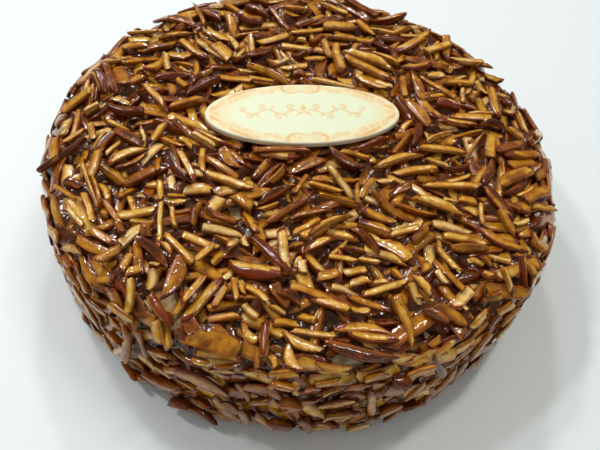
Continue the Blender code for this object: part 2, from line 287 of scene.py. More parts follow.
UPPERMOST = {
    "stick": (
        (77, 239, 110, 256, 12, 0.5), (96, 265, 124, 253, 11, 0.45), (60, 247, 82, 250, 8, 0.3),
        (126, 272, 143, 271, 11, 0.2), (131, 278, 131, 313, 10, 0.12), (154, 271, 154, 290, 13, 0.0),
        (201, 145, 203, 173, 8, 0.25), (205, 174, 255, 191, 8, 0.15), (182, 236, 220, 249, 10, 0.15),
        (196, 265, 214, 246, 8, 0.2), (226, 252, 240, 244, 9, 0.05), (289, 175, 324, 157, 12, 0.65),
        (338, 151, 371, 158, 8, 0.3), (358, 210, 394, 224, 8, 0.45), (306, 236, 355, 210, 9, 0.15),
        (375, 167, 422, 153, 8, 0.15), (415, 151, 465, 150, 9, 0.25), (420, 183, 479, 191, 9, 0.25),
        (429, 225, 475, 229, 10, 0.0), (480, 234, 530, 255, 12, 0.4), (531, 208, 553, 209, 8, 0.3),
        (180, 307, 207, 276, 9, 0.4), (183, 320, 225, 275, 11, 0.25), (205, 315, 244, 316, 10, 0.4),
        (248, 282, 268, 306, 10, 0.2), (278, 228, 291, 275, 14, 0.15), (192, 350, 241, 359, 9, 0.25),
        (154, 319, 160, 346, 11, 0.12), (300, 254, 337, 234, 10, 0.3), (328, 258, 357, 260, 9, 0.2),
        (343, 270, 368, 268, 9, 0.25), (348, 283, 371, 280, 10, 0.1), (361, 295, 408, 282, 10, 0.15),
        (291, 281, 343, 305, 11, 0.4), (307, 298, 350, 313, 10, 0.25), (407, 286, 422, 306, 9, 0.1),
        (333, 326, 394, 330, 11, 0.25), (284, 338, 325, 352, 11, 0.1), (398, 304, 413, 351, 13, 0.3),
        (434, 248, 466, 272, 10, 0.2), (432, 306, 468, 326, 11, 0.4), (475, 285, 451, 309, 13, 0.0),
        (505, 268, 511, 294, 8, 0.0), (475, 330, 491, 309, 8, 0.1), (207, 373, 235, 376, 8, 0.4),
        (242, 405, 249, 431, 10, 0.5), (256, 409, 271, 424, 10, 0.4), (320, 417, 360, 409, 11, 0.45),
        (370, 386, 372, 413, 11, 0.4), (366, 411, 378, 425, 12, 0.6), (468, 358, 490, 332, 9, 0.4),
        (126, 31, 158, 35, 7, 0.2), (158, 37, 199, 33, 6, 0.35), (136, 53, 177, 42, 7, 0.5),
        (178, 39, 208, 61, 8, 0.35), (165, 52, 191, 58, 8, 0.35), (118, 68, 126, 89, 13, 0.5),
        (165, 58, 168, 71, 8, 0.0), (198, 41, 224, 63, 10, 0.05), (209, 30, 229, 43, 8, 0.25),
        (223, 5, 246, 11, 7, 0.35), (227, 13, 236, 38, 9, 0.35), (282, 12, 300, 17, 7, 0.4),
        (292, 35, 330, 26, 8, 0.25), (257, 45, 291, 37, 9, 0.25), (281, 46, 314, 49, 8, 0.1),
        (280, 67, 308, 66, 7, 0.2), (304, 61, 327, 58, 8, 0.25), (213, 46, 233, 65, 14, 0.25),
        (208, 97, 233, 86, 8, 0.2), (320, 5, 348, 14, 8, 0.05), (322, 28, 356, 27, 9, 0.25),
        (329, 36, 357, 39, 9, 0.45), (356, 24, 376, 36, 7, 0.35), (393, 53, 431, 36, 9, 0.3),
        (344, 51, 397, 71, 13, 0.15), (344, 59, 395, 80, 9, 0.35), (332, 44, 342, 75, 10, 0.25),
        (353, 73, 386, 94, 8, 0.3), (427, 73, 448, 75, 10, 0.15), (460, 64, 493, 67, 7, 0.45),
        (447, 64, 483, 69, 8, 0.1), (442, 83, 475, 82, 8, 0.3), (476, 76, 485, 93, 7, 0.2),
        (487, 83, 500, 118, 10, 0.3), (450, 115, 493, 119, 9, 0.35), (435, 126, 481, 124, 6, 0.15),
        (516, 110, 530, 134, 6, 0.2), (505, 128, 527, 139, 8, 0.35), (529, 143, 540, 132, 10, 0.3),
        (62, 111, 96, 93, 10, 0.35), (109, 94, 130, 101, 8, 0.0), (103, 121, 133, 126, 6, 0.2),
        (92, 120, 91, 139, 10, 0.3), (151, 141, 167, 126, 8, 0.25), (170, 82, 174, 96, 8, 0.45),
    ),
    "skinned": (
        (43, 180, 91, 145, 9, 0.85), (140, 238, 170, 268, 14, 0.95), (150, 294, 172, 328, 12, 0.2),
        (326, 155, 365, 170, 12, 0.9), (410, 197, 468, 216, 14, 0.2), (226, 263, 282, 285, 19, 0.15),
        (246, 232, 290, 275, 14, 0.6), (351, 226, 382, 252, 12, 0.85), (415, 276, 432, 300, 14, 0.15),
        (263, 359, 266, 318, 10, 0.3), (322, 345, 398, 364, 13, 0.95), (516, 256, 525, 291, 7, 0.4),
        (185, 94, 220, 76, 10, 0.9), (193, 8, 208, 27, 7, 0.4), (204, 11, 223, 25, 9, 0.95),
        (236, 18, 261, 27, 11, 0.5), (246, 9, 269, 19, 10, 0.95), (294, 24, 319, 19, 9, 0.95),
        (290, 54, 307, 60, 9, 0.9), (250, 66, 296, 83, 14, 0.3), (370, 23, 407, 21, 7, 0.4),
        (480, 76, 501, 85, 7, 0.2), (435, 103, 460, 110, 9, 0.1), (480, 125, 506, 125, 8, 0.95),
        (500, 98, 510, 108, 8, 0.7), (105, 108, 144, 117, 13, 0.9),
    ),
    "halfmoon": (
        (167, 300, 184, 256, 17, 0.68), (377, 234, 413, 260, 16, 0.3), (243, 346, 181, 338, 22, 0.52),
        (303, 374, 281, 346, 15, 0.35), (353, 372, 315, 366, 10, 0.35), (159, 110, 138, 95, 12, 0.3),
    ),
    "dome": ((166, 152, 191, 187, 14, 0.95), (433, 350, 440, 377, 14, 0.95)),
}
DRAWN_KINDS = {
    "stick": "almond_golden", "skinned": "almond_skinned",
    "halfmoon": "almond_halfmoons", "dome": "almond_domes",
}
DRAWN_CUTS = {                          # their cuts, where these differ from their kind's
    "skinned": {"middle": ((0.0, 1.2), (3.0, 3.4)), "half": ((1.3, 1.8), (1.6, 1.9))},
    "halfmoon": {"middle": ((2.8, 3.2), (0.0, 0.5)), "half": ((2.6, 3.0), (0.7, 0.95))},
}
DRAWN_WIDER = 1.12                      # their widest is this much wider than drawn, as they taper
DRAWN_DEPTHS = (0.75, 1.25)             # least and most that their thickness is scaled with their width
AMBER = 0.45                            # tone from which a drawn stick counts as amber
DRAWN_LIFT = 4.5                        # height over the cream at which they are taken to lie
DRAWN_COAT = 8.2                        # and the most that they stand above it, pressed down if need be
CLEARED = 4.4                           # the others stay lower than this under them
CLEARED_SHARE = 0.30                    # over this share of their widths either way
CLEARED_REACH = 60                      # pixels round a sliver in which they are looked for


# ---------------------------------------------------------------- where the camera sees things

def camera_frame():
    """The camera's place in millimetres, and its directions right, up and back."""
    back = Vector((0, -math.cos(CAMERA_DOWN), math.sin(CAMERA_DOWN)))
    side = Vector((0, 0, 1)).cross(back).normalized()
    over = back.cross(side)
    right = side * math.cos(CAMERA_ROLL) + over * math.sin(CAMERA_ROLL)
    up = over * math.cos(CAMERA_ROLL) - side * math.sin(CAMERA_ROLL)
    place = Vector(CAMERA_TARGET) + back * CAMERA_DISTANCE
    turn = Matrix.Rotation(-PLAQUE_TURN, 3, "Z")
    return turn @ place, turn @ right, turn @ up, turn @ back


CAMERA = [np.array(part) for part in camera_frame()]


def pixels_of(points):
    """Where the camera sees points."""
    place, right, up, back = CAMERA
    offset = points - place
    scale = -FOCAL_PIXELS / (offset @ back)
    x = IMAGE_WIDTH / 2 + scale * (offset @ right)
    y = IMAGE_HEIGHT / 2 - scale * (offset @ up)
    return np.stack((x, y), -1)


def seen_at(pixel, lift):
    """The point lift millimetres over the cream that the camera sees at a pixel, and the way back.

    Past the outline it is about the point of the line of sight that comes nearest to the cream."""
    place, right, up, back = CAMERA
    across = (pixel[0] - IMAGE_WIDTH / 2) / FOCAL_PIXELS
    down = (pixel[1] - IMAGE_HEIGHT / 2) / FOCAL_PIXELS
    ray = right * across - up * down - back
    ray /= np.linalg.norm(ray)
    point, last = place, math.inf
    for _ in range(SIGHT_STEPS):
        gap = height_over_cream(point[None])[0] - lift
        if gap > last:
            break
        point, last = point + ray * gap, gap
    return point, -ray


def bare_patches(share=1.0):
    """The patches where the cream shows: middle, way to the camera, and a share of their radius."""
    return [(*seen_at(pixel, 0.0), radius * share) for pixel, radius in CREAM_PATCHES]


def in_sight(points, sights):
    """Whether any of the points hides one of the patches that are kept clear."""
    for middle, way, radius in sights:
        offset = points - middle
        far = offset @ way
        aside = (offset * offset).sum(1) - far * far
        if ((aside < radius * radius) & (abs(far) < SIGHT_LENGTH)).any():
            return True
    return False


# ---------------------------------------------------------------- the cake's surface

def profile_point(run):
    """(radius, height, slope) of the cream at a run along its profile from the middle of the top."""
    if run <= TOP_RUN:
        return run, CREAM_HEIGHT, 0.0
    if run <= TOP_RUN + RIM_RUN:
        slope = (run - TOP_RUN) / RIM_ROUND
        radius = TOP_RUN + RIM_ROUND * math.sin(slope)
        return radius, CREAM_HEIGHT - RIM_ROUND * (1 - math.cos(slope)), slope
    return CREAM_RADIUS, SIDE_RUN - (run - TOP_RUN - RIM_RUN), math.pi / 2


def surface_axes(run, turn):
    """Point, outward normal, way round and way down the profile, as arrays."""
    radius, height, slope = profile_point(run)
    east, north = math.cos(turn), math.sin(turn)
    flat, steep = math.cos(slope), math.sin(slope)
    point = np.array((east * radius, north * radius, height))
    normal = np.array((east * steep, north * steep, flat))
    around = np.array((-north, east, 0.0))
    return point, normal, around, np.array((east * flat, north * flat, -steep))


def height_over_cream(points):
    """Distance of points from the cream's surface, negative inside it."""
    across = np.hypot(points[:, 0], points[:, 1]) - TOP_RUN
    above = points[:, 2] - SIDE_RUN
    outside = np.hypot(np.maximum(across, 0), np.maximum(above, 0))
    return outside + np.minimum(np.maximum(across, above), 0) - RIM_ROUND


def run_of(points):
    """How far along the profile the cream's nearest point lies, for each point."""
    radius = np.hypot(points[..., 0], points[..., 1])
    across, above = radius - TOP_RUN, points[..., 2] - SIDE_RUN
    round_the_rim = TOP_RUN + RIM_ROUND * np.arctan2(np.maximum(across, 0), np.maximum(above, 1e-9))
    run = np.where(above >= 0, round_the_rim, TOP_RUN + RIM_RUN - above)
    return np.where(across <= 0, radius, run)


# ---------------------------------------------------------------- cutting slivers from almonds

def swell(along):
    """Share of an almond's full section, from its round end at -1 to its pointed end at 1."""
    return np.sqrt(np.maximum(1 - along**2, 0)) * (1 - POINTEDNESS * np.maximum(along, 0) ** 1.6)


def cut_outline(half, corners, soft):
    """Points round a box-shaped cut with softened corners, anticlockwise, and which are on an edge."""
    wide, thick = half
    inner = [wide - soft - 2 * (wide - soft) * (i + 1) / (corners + 1) for i in range(corners)]
    top = [(wide - soft, thick)] + [(x, thick) for x in inner] + [(-wide + soft, thick)]
    left = [(-wide, thick - soft), (-wide, 0.0), (-wide, -thick + soft)]
    bottom = [(-x, -y) for x, y in top]
    right = [(-x, -y) for x, y in left]
    edges = [1.0] + [0.0] * corners + [1.0, 1.0, 0.0, 1.0]
    return np.array(top + left + bottom + right), np.array(edges * 2)


def leaves_ellipse(start, step, radii):
    """How many steps from start, inside an ellipse about the origin, it takes to reach it."""
    place, way = start / radii, step / radii
    squared = np.maximum((way * way).sum(-1), 1e-9)
    linear = (place * way).sum(-1)
    rest = (place * place).sum(-1) - 1
    return (-linear + np.sqrt(np.maximum(linear * linear - squared * rest, 0))) / squared


def cut_span(draw, nearest, size, breakage):
    """From where to where the almond fills the cut, as shares of its half length, less broken ends."""
    needed = np.hypot(*(nearest / size[1:]))
    along = np.linspace(-1, 1, 201)
    there = along[swell(along) > needed * 1.02 + 0.05]
    low, high = there[0], there[-1]
    broken = BREAK_EASE * breakage * draw.random(2) ** 2
    broken *= (high - low) * min(1, MOST_BROKEN / broken.sum())
    return low + broken[0], high - broken[1]


def cut_sliver(draw, kind):
    """One sliver in millimetres: rings of points along X, which are on skin and which on an edge."""
    size = np.array((ALMOND_LENGTH, ALMOND_WIDTH, ALMOND_THICKNESS))
    size = size * draw.uniform(1 - ALMOND_SPREAD, 1 + ALMOND_SPREAD, 3) / 2
    sides = draw.choice((-1.0, 1.0), 2)
    middle = np.array([draw.uniform(*span) for span in kind["middle"]]) * sides
    half = [draw.uniform(*span) for span in kind["half"]]
    outline, edges = cut_outline(half, kind["corners"], draw.uniform(*CUT_EDGE))
    outline[:, 0] += outline[:, 1] * draw.normal(0, CUT_SKEW)
    outline[:, 1] += outline[:, 0] * draw.normal(0, CUT_SKEW / 2)
    nearest = np.clip(0.0, middle - half, middle + half)
    low, high = cut_span(draw, nearest, size, kind["broken"])
    along = low + (high - low) * (0.5 - 0.5 * np.cos(np.linspace(0, math.pi, STATIONS)))
    radii = swell(along)[:, None] * size[1:]
    inward = np.minimum(leaves_ellipse(nearest, middle - nearest, radii), 1)[:, None]
    heart = nearest + 0.5 * inward * (middle - nearest)
    slope = draw.normal(0, CUT_SLOPE, 2) * size[0] * (along[:, None] - (low + high) / 2)
    targets = middle + slope[:, None] * np.minimum(1, half) + outline
    spokes = targets - heart[:, None]
    reach = leaves_ellipse(heart[:, None], spokes, radii[:, None])
    shrink = np.ones(STATIONS)
    shrink[[0, -1]] = draw.uniform(*END_SIZES, 2)
    shrink[[1, -2]] = draw.uniform(*NEXT_SIZES, 2)
    rings = heart[:, None] + spokes * np.minimum(reach, 1)[..., None]
    rings = heart[:, None] + (rings - heart[:, None]) * shrink[:, None, None]
    points = np.empty((STATIONS, len(outline), 3))
    points[..., 0] = (along * size[0])[:, None]
    points[..., 1:] = rings + draw.normal(0, CUT_ROUGH, rings.shape)
    edges = np.tile(edges, (STATIONS, 1))
    edges[[0, -1]] = END_EDGES
    skin = np.clip(0.5 + (1 - reach) * SKIN_SHARPNESS, 0, 1)
    return worked(draw, points, size[0] * (high - low) / 2), skin, edges


def worked(draw, points, half_length):
    """The sliver centred, then bent, twisted and slanted a little, as no two are alike."""
    flat = points.reshape(-1, 3)
    points = points - (flat.max(0) + flat.min(0)) / 2
    share = points[..., 0] / half_length
    for end in (-1, 1):
        slant = draw.uniform(-SLANT, SLANT, 2)
        nearer = np.maximum(share * end, 0) ** 4
        points[..., 0] += nearer * (slant[0] * points[..., 1] + slant[1] * points[..., 2])
    points = rolled(points, draw.normal(0, TWIST) * share)
    ripple = draw.uniform(0, math.tau, 2)
    for axis, (bend, depth, pace) in enumerate(BENDS, 1):
        wave = depth * np.sin(pace * share + ripple[axis - 1])
        points[..., axis] += draw.normal(0, bend) * share**2 + wave
    return points


def rolled(points, roll):
    """A sliver's points turned about its length, by one angle or by one for each point."""
    turned = points.copy()
    turned[..., 1] = points[..., 1] * np.cos(roll) - points[..., 2] * np.sin(roll)
    turned[..., 2] = points[..., 1] * np.sin(roll) + points[..., 2] * np.cos(roll)
    return turned


def turned_up(points, skin, way):
    """A sliver rolled until its skin faces a way, given as an angle from its left side."""
    side, top = (skin[..., None] * points[..., 1:]).reshape(-1, 2).sum(0)
    return rolled(points, way - math.atan2(top, side))


def measured(points):
    """A sliver's points with the heights and half widths that settling needs, ring by ring."""
    low = points[..., 2].min(1)[:, None]
    high = points[..., 2].max(1)[:, None]
    return {
        "points": points,
        "along": points[..., 0].mean(1),
        "low": low[:, 0],
        "high": high[:, 0],
        "widths": (points[..., 1].max(1) - points[..., 1].min(1)) / 2,
        "sunk": 1 - (points[..., 2] - low) / np.maximum(high - low, 0.1),
    }


def ways_to_lie(draw, points, skin, name):
    """The sliver as it lies on the top, on any of its sides unless it is broad, and flat as on the side."""
    if draw.random() < 0.5:
        points = points * np.array((-1, -1, 1))
    over = math.pi * (draw.random() < 0.5)
    edge = 0.0 if name in BROAD or draw.random() < LIES_FLAT else math.pi / 2
    if name in BARKED:
        points = turned_up(points, skin, math.pi / 2 + draw.normal(0, BARK_TURN))
        over = edge = 0.0
    return {
        "top": measured(rolled(points, over + edge + draw.normal(0, ROLL))),
        "side": measured(rolled(points * SIDE_FORM, over + draw.normal(0, ROLL / 2))),
    }


# ---------------------------------------------------------------- laying them on the cream

class Pile:
    """What lies on the cream so far: the slivers of each kind, and what others would rest on.

    That is the points along each sliver, with its height above them and half width."""

    def __init__(self):
        room = SLIVERS + SPLINTERS
        self.laid = {name: [] for name in KINDS}
        self.sights = bare_patches(SIGHT_SHARE)
        self.drawn = drawn_outlines()
        self.middles = np.empty((room, 3))
        self.lines = np.empty((room, STATIONS, 3))
        self.tops = np.empty((room, STATIONS))
        self.widths = np.empty((room, STATIONS))
        self.count = 0

    def add(self, name, found, points, skin, edges, tone):
        """Adds a laid sliver of a kind."""
        sliver = found["sliver"]
        self.middles[self.count] = found["line"][STATIONS // 2]
        self.lines[self.count] = found["line"]
        self.tops[self.count] = sliver["high"]
        self.widths[self.count] = sliver["widths"]
        self.count += 1
        self.laid[name].append({
            "points": found["points"], "local": points, "skin": skin, "edges": edges,
            "sunk": sliver["sunk"], "tone": tone, "number": self.count,
        })

    def under(self, point, axes, along, widths, sink):
        """Height above a tangent plane of what a sliver there would rest on, at each point along it."""
        offset = self.middles[: self.count] - point
        near = np.flatnonzero((offset * offset).sum(1) < (along[-1] - along[0] + PAST_ENDS) ** 2)
        local = (self.lines[near].reshape(-1, 3) - point) @ axes.T
        tops, wide = self.tops[near].ravel(), self.widths[near].ravel()
        apart = np.abs(local[:, 1]) / (widths[:, None] + wide)
        close = np.abs(local[:, 0] - along[:, None]) < BEARS_ALONG
        heights = local[:, 2] + tops * (1 - FLANK_DROP * np.minimum(apart, 1) ** 3)
        heights = np.where(close & (apart < SIDE_BITE), heights, NOWHERE)
        cream = -height_over_cream(point + along[:, None] * axes[0]) - (sink - BITE)
        return np.maximum(heights.max(1, initial=NOWHERE), cream)


def thrown_place(draw):
    """A random place on the cake, even over its surface: run along the profile, turn and heading."""
    run = draw.uniform(0, PROFILE_RUN)
    while draw.random() > profile_point(run)[0] / CREAM_RADIUS:
        run = draw.uniform(0, PROFILE_RUN)
    turn = draw.uniform(0, math.tau)
    if run < TOP_RUN:
        return run, turn, draw.uniform(0, math.tau)
    return run, turn, draw.normal(0, RIM_LEAN if run < TOP_RUN + RIM_RUN else SIDE_LEAN)


def nudged_place(draw, place):
    """A place close by."""
    run, turn, heading = place
    radius = max(profile_point(run)[0], NUDGE)
    run = min(max(run + draw.normal(0, NUDGE), 1.0), PROFILE_RUN - 1.0)
    return run, turn + draw.normal(0, NUDGE) / radius, heading + draw.normal(0, NUDGE_TURN)


def in_plaque(points, margin):
    """Which points lie under the plaque's outline grown by a margin."""
    middle = (PLAQUE_LOW + PLAQUE_HIGH) / 2 / MM
    half = (PLAQUE_HIGH - PLAQUE_LOW) / 2 / MM
    across = (points[:, 0] - middle.x) / (half.x + margin)
    deep = (points[:, 1] - middle.y) / (half.y + margin)
    return across**2 + deep**2 < 1


def settled(pile, place, sliver):
    """The sliver at rest there: its points, centre line and mean height; None if it can't lie there."""
    on_top = place[0] < TOP_RUN
    tilts = TOP_TILTS if on_top else SIDE_TILTS
    found = laid_at(pile, place, sliver["top" if on_top else "side"], tilts)
    flat = found["points"].reshape(-1, 3)
    heights = height_over_cream(flat)
    if flat[:, 2].min() < FLOOR_GAP or heights.max() > (COAT if on_top else SIDE_COAT):
        return None
    if meets_plaque(flat) or in_sight(flat, pile.sights) or hides_drawn(flat, heights, pile.drawn):
        return None
    found["stands"] = heights.mean()
    return found


def laid_at(pile, place, sliver, tilts, lean=0.0):
    """The sliver on what lies there, at the tilt that brings it lowest, yet close to its lean."""
    run, turn, heading = place
    point, normal, around, down = surface_axes(run, turn)
    ahead, aside = math.cos(heading), math.sin(heading)
    axes = np.array((around * ahead + down * aside, around * aside - down * ahead, normal))
    along = sliver["along"]
    support = pile.under(point, axes, along, sliver["widths"], SINK if run < TOP_RUN else SIDE_SINK)
    support = support - sliver["low"] - BITE
    lifts = (support - tilts[:, None] * along).max(1)
    best = int(np.argmin(lifts + TILT_DISLIKE * np.abs(tilts - lean)))
    tilt = math.atan(tilts[best])
    forward = axes[0] * math.cos(tilt) + axes[2] * math.sin(tilt)
    upright = axes[2] * math.cos(tilt) - axes[0] * math.sin(tilt)
    start = point + axes[2] * lifts[best]
    points = start + sliver["points"] @ np.array((forward, axes[1], upright))
    return {"place": place, "points": points, "line": start + along[:, None] * forward, "sliver": sliver}


def meets_plaque(points):
    """Whether any of the points would touch the plaque, or stand over it."""
    return (in_plaque(points, PLAQUE_MARGIN) & (points[:, 2] > PLAQUE_LOW.z / MM - PLAQUE_GAP)).any()


def hides_drawn(points, heights, drawn):
    """Whether any of the points stands where a drawn sliver is to lie uppermost."""
    middle = points.mean(0)
    _, normal, _, _ = surface_axes(float(run_of(middle)), math.atan2(middle[1], middle[0]))
    if (middle - CAMERA[0]) @ normal > 0:
        return False
    pixels = pixels_of(points)
    ends, steps, widths = drawn
    near = np.linalg.norm(ends + steps / 2 - pixels.mean(0), axis=1) < CLEARED_REACH
    ends, steps, widths = ends[near], steps[near], widths[near]
    offset = pixels[heights > CLEARED][:, None] - ends
    share = np.clip((offset * steps).sum(-1) / (steps * steps).sum(-1), 0, 1)
    apart = np.linalg.norm(offset - share[..., None] * steps, axis=-1)
    return (apart < CLEARED_SHARE * widths).any()


def drawn_outlines():
    """The drawn slivers' first ends, ways to their second ends, and widths, in pixels."""
    rows = np.array([row for group in (UPPER, UPPERMOST) for rows in group.values() for row in rows])
    return rows[:, :2], rows[:, 2:4] - rows[:, :2], rows[:, 4]


def drawn_sliver(draw, shape, row):
    """A sliver cut to a drawn one's size, the place where it lies, and how steeply."""
    kind = KINDS[DRAWN_KINDS[shape]] | DRAWN_CUTS.get(shape, {})
    points, skin, edges = cut_sliver(draw, kind | {"broken": kind["broken"] / 2})
    lying = points
    if shape in ("skinned", "dome"):
        lying = turned_up(points, skin, math.pi / 2)
    elif shape == "halfmoon" and (skin * points[..., 1]).sum() > 0:
        lying = points * np.array((-1, -1, 1))
    first, second = (seen_at(row[start : start + 2], DRAWN_LIFT)[0] for start in (0, 2))
    middle, way = (first + second) / 2, second - first
    run, turn = float(run_of(middle)), math.atan2(middle[1], middle[0])
    _, normal, around, down = surface_axes(run, turn)
    pixel = FOCAL_PIXELS / ((CAMERA[0] - middle) @ CAMERA[3])
    sizes = np.ptp(lying.reshape(-1, 3), axis=0)
    form = np.array((np.linalg.norm(way) / sizes[0], DRAWN_WIDER * row[4] / pixel / sizes[1], 1.0))
    form[2] = np.clip(form[1], *DRAWN_DEPTHS)
    place = (run, turn, math.atan2(way @ down, way @ around))
    lean = (way @ normal) / np.hypot(way @ down, way @ around)
    return points * form, skin, edges, measured(lying * form), place, lean


def lay_drawn(draw, pile, shape, row):
    """Lays a drawn sliver, pressed down to the height of the coat, unless it meets the plaque."""
    points, skin, edges, sliver, place, lean = drawn_sliver(draw, shape, row)
    found = laid_at(pile, place, sliver, TOP_TILTS, lean)
    flat = found["points"].reshape(-1, 3)
    excess = max(height_over_cream(flat).max() - DRAWN_COAT, 0)
    shift = -excess * surface_axes(*place[:2])[1]
    shift[2] += max(FLOOR_GAP - flat[:, 2].min() - shift[2], 0)
    found["points"] = found["points"] + shift
    found["line"] = found["line"] + shift
    if not meets_plaque(found["points"].reshape(-1, 3)):
        name = "almond_amber" if shape == "stick" and row[5] > AMBER else DRAWN_KINDS[shape]
        pile.add(name, found, points, skin, edges, row[5])


def best_place(draw, pile, sliver, tries):
    """The sliver where it lies lowest of some random places, and of small moves from there."""
    best = None
    for attempt in range(tries + NUDGES):
        if attempt >= tries and best is None:
            break
        place = thrown_place(draw) if attempt < tries else nudged_place(draw, best["place"])
        found = settled(pile, place, sliver)
        if found and (best is None or found["stands"] < best["stands"]):
            best = found
    return best


def lay_thrown(draw, pile, count, names=tuple(KINDS), tries=TRIES):
    """Lays slivers of some kinds at random until there are so many in the pile, or no room is left."""
    shares = np.array([KINDS[name]["share"] for name in names]) + LEAST_SHARE
    for _ in range(GIVE_UP):
        name = names[draw.choice(len(names), p=shares / shares.sum())]
        kind = KINDS[name]
        points, skin, edges = cut_sliver(draw, kind)
        best = best_place(draw, pile, ways_to_lie(draw, points, skin, name), tries)
        if best is None:
            continue
        # slivers on the side get a darker tone, partly painted shade
        tone = draw.uniform(*kind["tone"]) + SIDE_TONE_AND_SHADE * (best["place"][0] > TOP_RUN)
        pile.add(name, best, points, skin, edges, tone)
        if pile.count == count:
            break


def lay_slivers():
    """Lays the whole coat. Returns, for each kind, a list of laid slivers."""
    draw = np.random.default_rng(SEED)
    pile = Pile()
    lay_thrown(draw, pile, FIRST_SLIVERS)
    for group in (UPPER, UPPERMOST):
        for shape, rows in group.items():
            for row in rows:
                lay_drawn(draw, pile, shape, row)
    lay_thrown(draw, pile, SLIVERS)
    lay_thrown(draw, pile, pile.count + SPLINTERS, ("almond_splinters",), SPLINTER_TRIES)
    return pile.laid


# ---------------------------------------------------------------- meshes

ALMOND_AXES = ("along", "across", "through")    # attributes with a point's place in its almond
GLAZE_AXES = ("glaze_x", "glaze_y", "glaze_z")  # and with the way that its glaze faces
GRAIN_SHIFT = np.array((31.7, 17.3, 11.9))      # from one sliver's grain to the next one's
GRAIN_CYCLE = 97                                # slivers until the grain comes again


def add_attributes(piece, **values):
    """Stores a number at each of a piece's points, under each name."""
    for name, numbers in values.items():
        attribute = piece.data.attributes.new(name, "FLOAT", "POINT")
        attribute.data.foreach_set("value", np.asarray(numbers, np.float32))


def linked_mesh(name, points, faces):
    """A mesh object from points in millimetres."""
    mesh = bpy.data.meshes.new(name)
    mesh.from_pydata((np.asarray(points) * MM).tolist(), [], faces)
    mesh.update()
    made = bpy.data.objects.new(name, mesh)
    bpy.context.scene.collection.objects.link(made)
    return made


def face_true_normals(mesh):
    """Shades the broad faces flat and only the narrow edges between them round."""
    mesh.shade_smooth()
    count = len(mesh.loops)
    corners = np.empty(count, np.int64)
    mesh.loops.foreach_get("vertex_index", corners)
    sizes = np.empty(len(mesh.polygons), np.int64)
    mesh.polygons.foreach_get("loop_total", sizes)
    areas = np.empty(len(mesh.polygons))
    mesh.polygons.foreach_get("area", areas)
    normals = np.empty(len(mesh.polygons) * 3)
    mesh.polygons.foreach_get("normal", normals)
    weighted = np.repeat(normals.reshape(-1, 3) * areas[:, None], sizes, axis=0)
    sums = np.zeros((len(mesh.vertices), 3))
    np.add.at(sums, corners, weighted)
    sums /= np.maximum(np.linalg.norm(sums, axis=1), 1e-20)[:, None]
    mesh.normals_split_custom_set_from_vertices(sums.tolist())


def ring_faces(around, rings):
    """Quads between rings of points that run anticlockwise as seen from the last, and a cap at each end."""
    faces = []
    for ring in range(rings - 1):
        for side in range(around):
            near, beside = ring * around + side, ring * around + (side + 1) % around
            faces.append((near, near + around, beside + around, beside))
    faces.append(tuple(range(around)))
    last = (rings - 1) * around
    faces.append(tuple(last + side for side in reversed(range(around))))
    return faces


def copied_faces(pattern, size, copies):
    """The faces of copies of a shape, which has so many points."""
    return [tuple(size * copy + corner for corner in face) for copy in range(copies) for face in pattern]


def glazed_normals(rings):
    """Directions out of a sliver's glaze, which is rounder than the sliver: as on a rod with blunt ends."""
    middles = rings.mean(1)
    forward = middles[-1] - middles[0]
    forward /= np.linalg.norm(forward)
    offsets = rings - middles[:, None]
    offsets -= (offsets @ forward)[..., None] * forward
    _, sizes, ways = np.linalg.svd(offsets.reshape(-1, 3), full_matrices=False)
    normals = (offsets @ ways[:2].T / sizes[:2] ** 2) @ ways[:2]
    normals /= np.maximum(np.linalg.norm(normals, axis=-1), 1e-9)[..., None]
    share = np.linspace(-1, 1, STATIONS)
    return normals + (share**5)[:, None, None] * forward


def joined_slivers(name, group):
    """All slivers of one kind as one mesh, with what their material needs to know as attributes."""
    def gathered(key):
        return np.concatenate([sliver[key].ravel() for sliver in group])

    around = group[0]["points"].shape[1]
    size = STATIONS * around
    points = gathered("points").reshape(-1, 3)
    shifts = [GRAIN_SHIFT * (sliver["number"] % GRAIN_CYCLE) for sliver in group]
    local = gathered("local").reshape(-1, 3) + np.repeat(shifts, size, axis=0)
    glaze = np.concatenate([glazed_normals(sliver["points"]) for sliver in group]).reshape(-1, 3)
    tones = np.repeat([sliver["tone"] for sliver in group], size)
    made = linked_mesh(name, points, copied_faces(ring_faces(around, STATIONS), size, len(group)))
    add_attributes(made, edge=gathered("edges"), sunk=gathered("sunk"), skin=gathered("skin"), tone=tones)
    add_attributes(made, height=height_over_cream(points))
    add_attributes(made, **dict(zip(ALMOND_AXES, local.T)), **dict(zip(GLAZE_AXES, glaze.T)))
    face_true_normals(made.data)
    return made


def closely_spaced(rings):
    """Points all over slivers, from arrays of their rings, close enough to miss no step of the maps."""
    along = np.linspace(0, STATIONS - 1.001, 5 * STATIONS)
    lower, share = along.astype(int), (along % 1)[:, None, None]
    rings = rings[:, lower] * (1 - share) + rings[:, lower + 1] * share
    between = (rings + np.roll(rings, 1, axis=2)) / 2
    return np.concatenate((rings, between), axis=2).reshape(-1, 3)


def relief(feet, scale, rough):
    """The height of lumps at each point of a grid."""
    lumps = [noise.fractal(Vector(foot) * scale, rough, 2.2, 3) for foot in feet.reshape(-1, 3)]
    return np.reshape(lumps, feet.shape[:2])


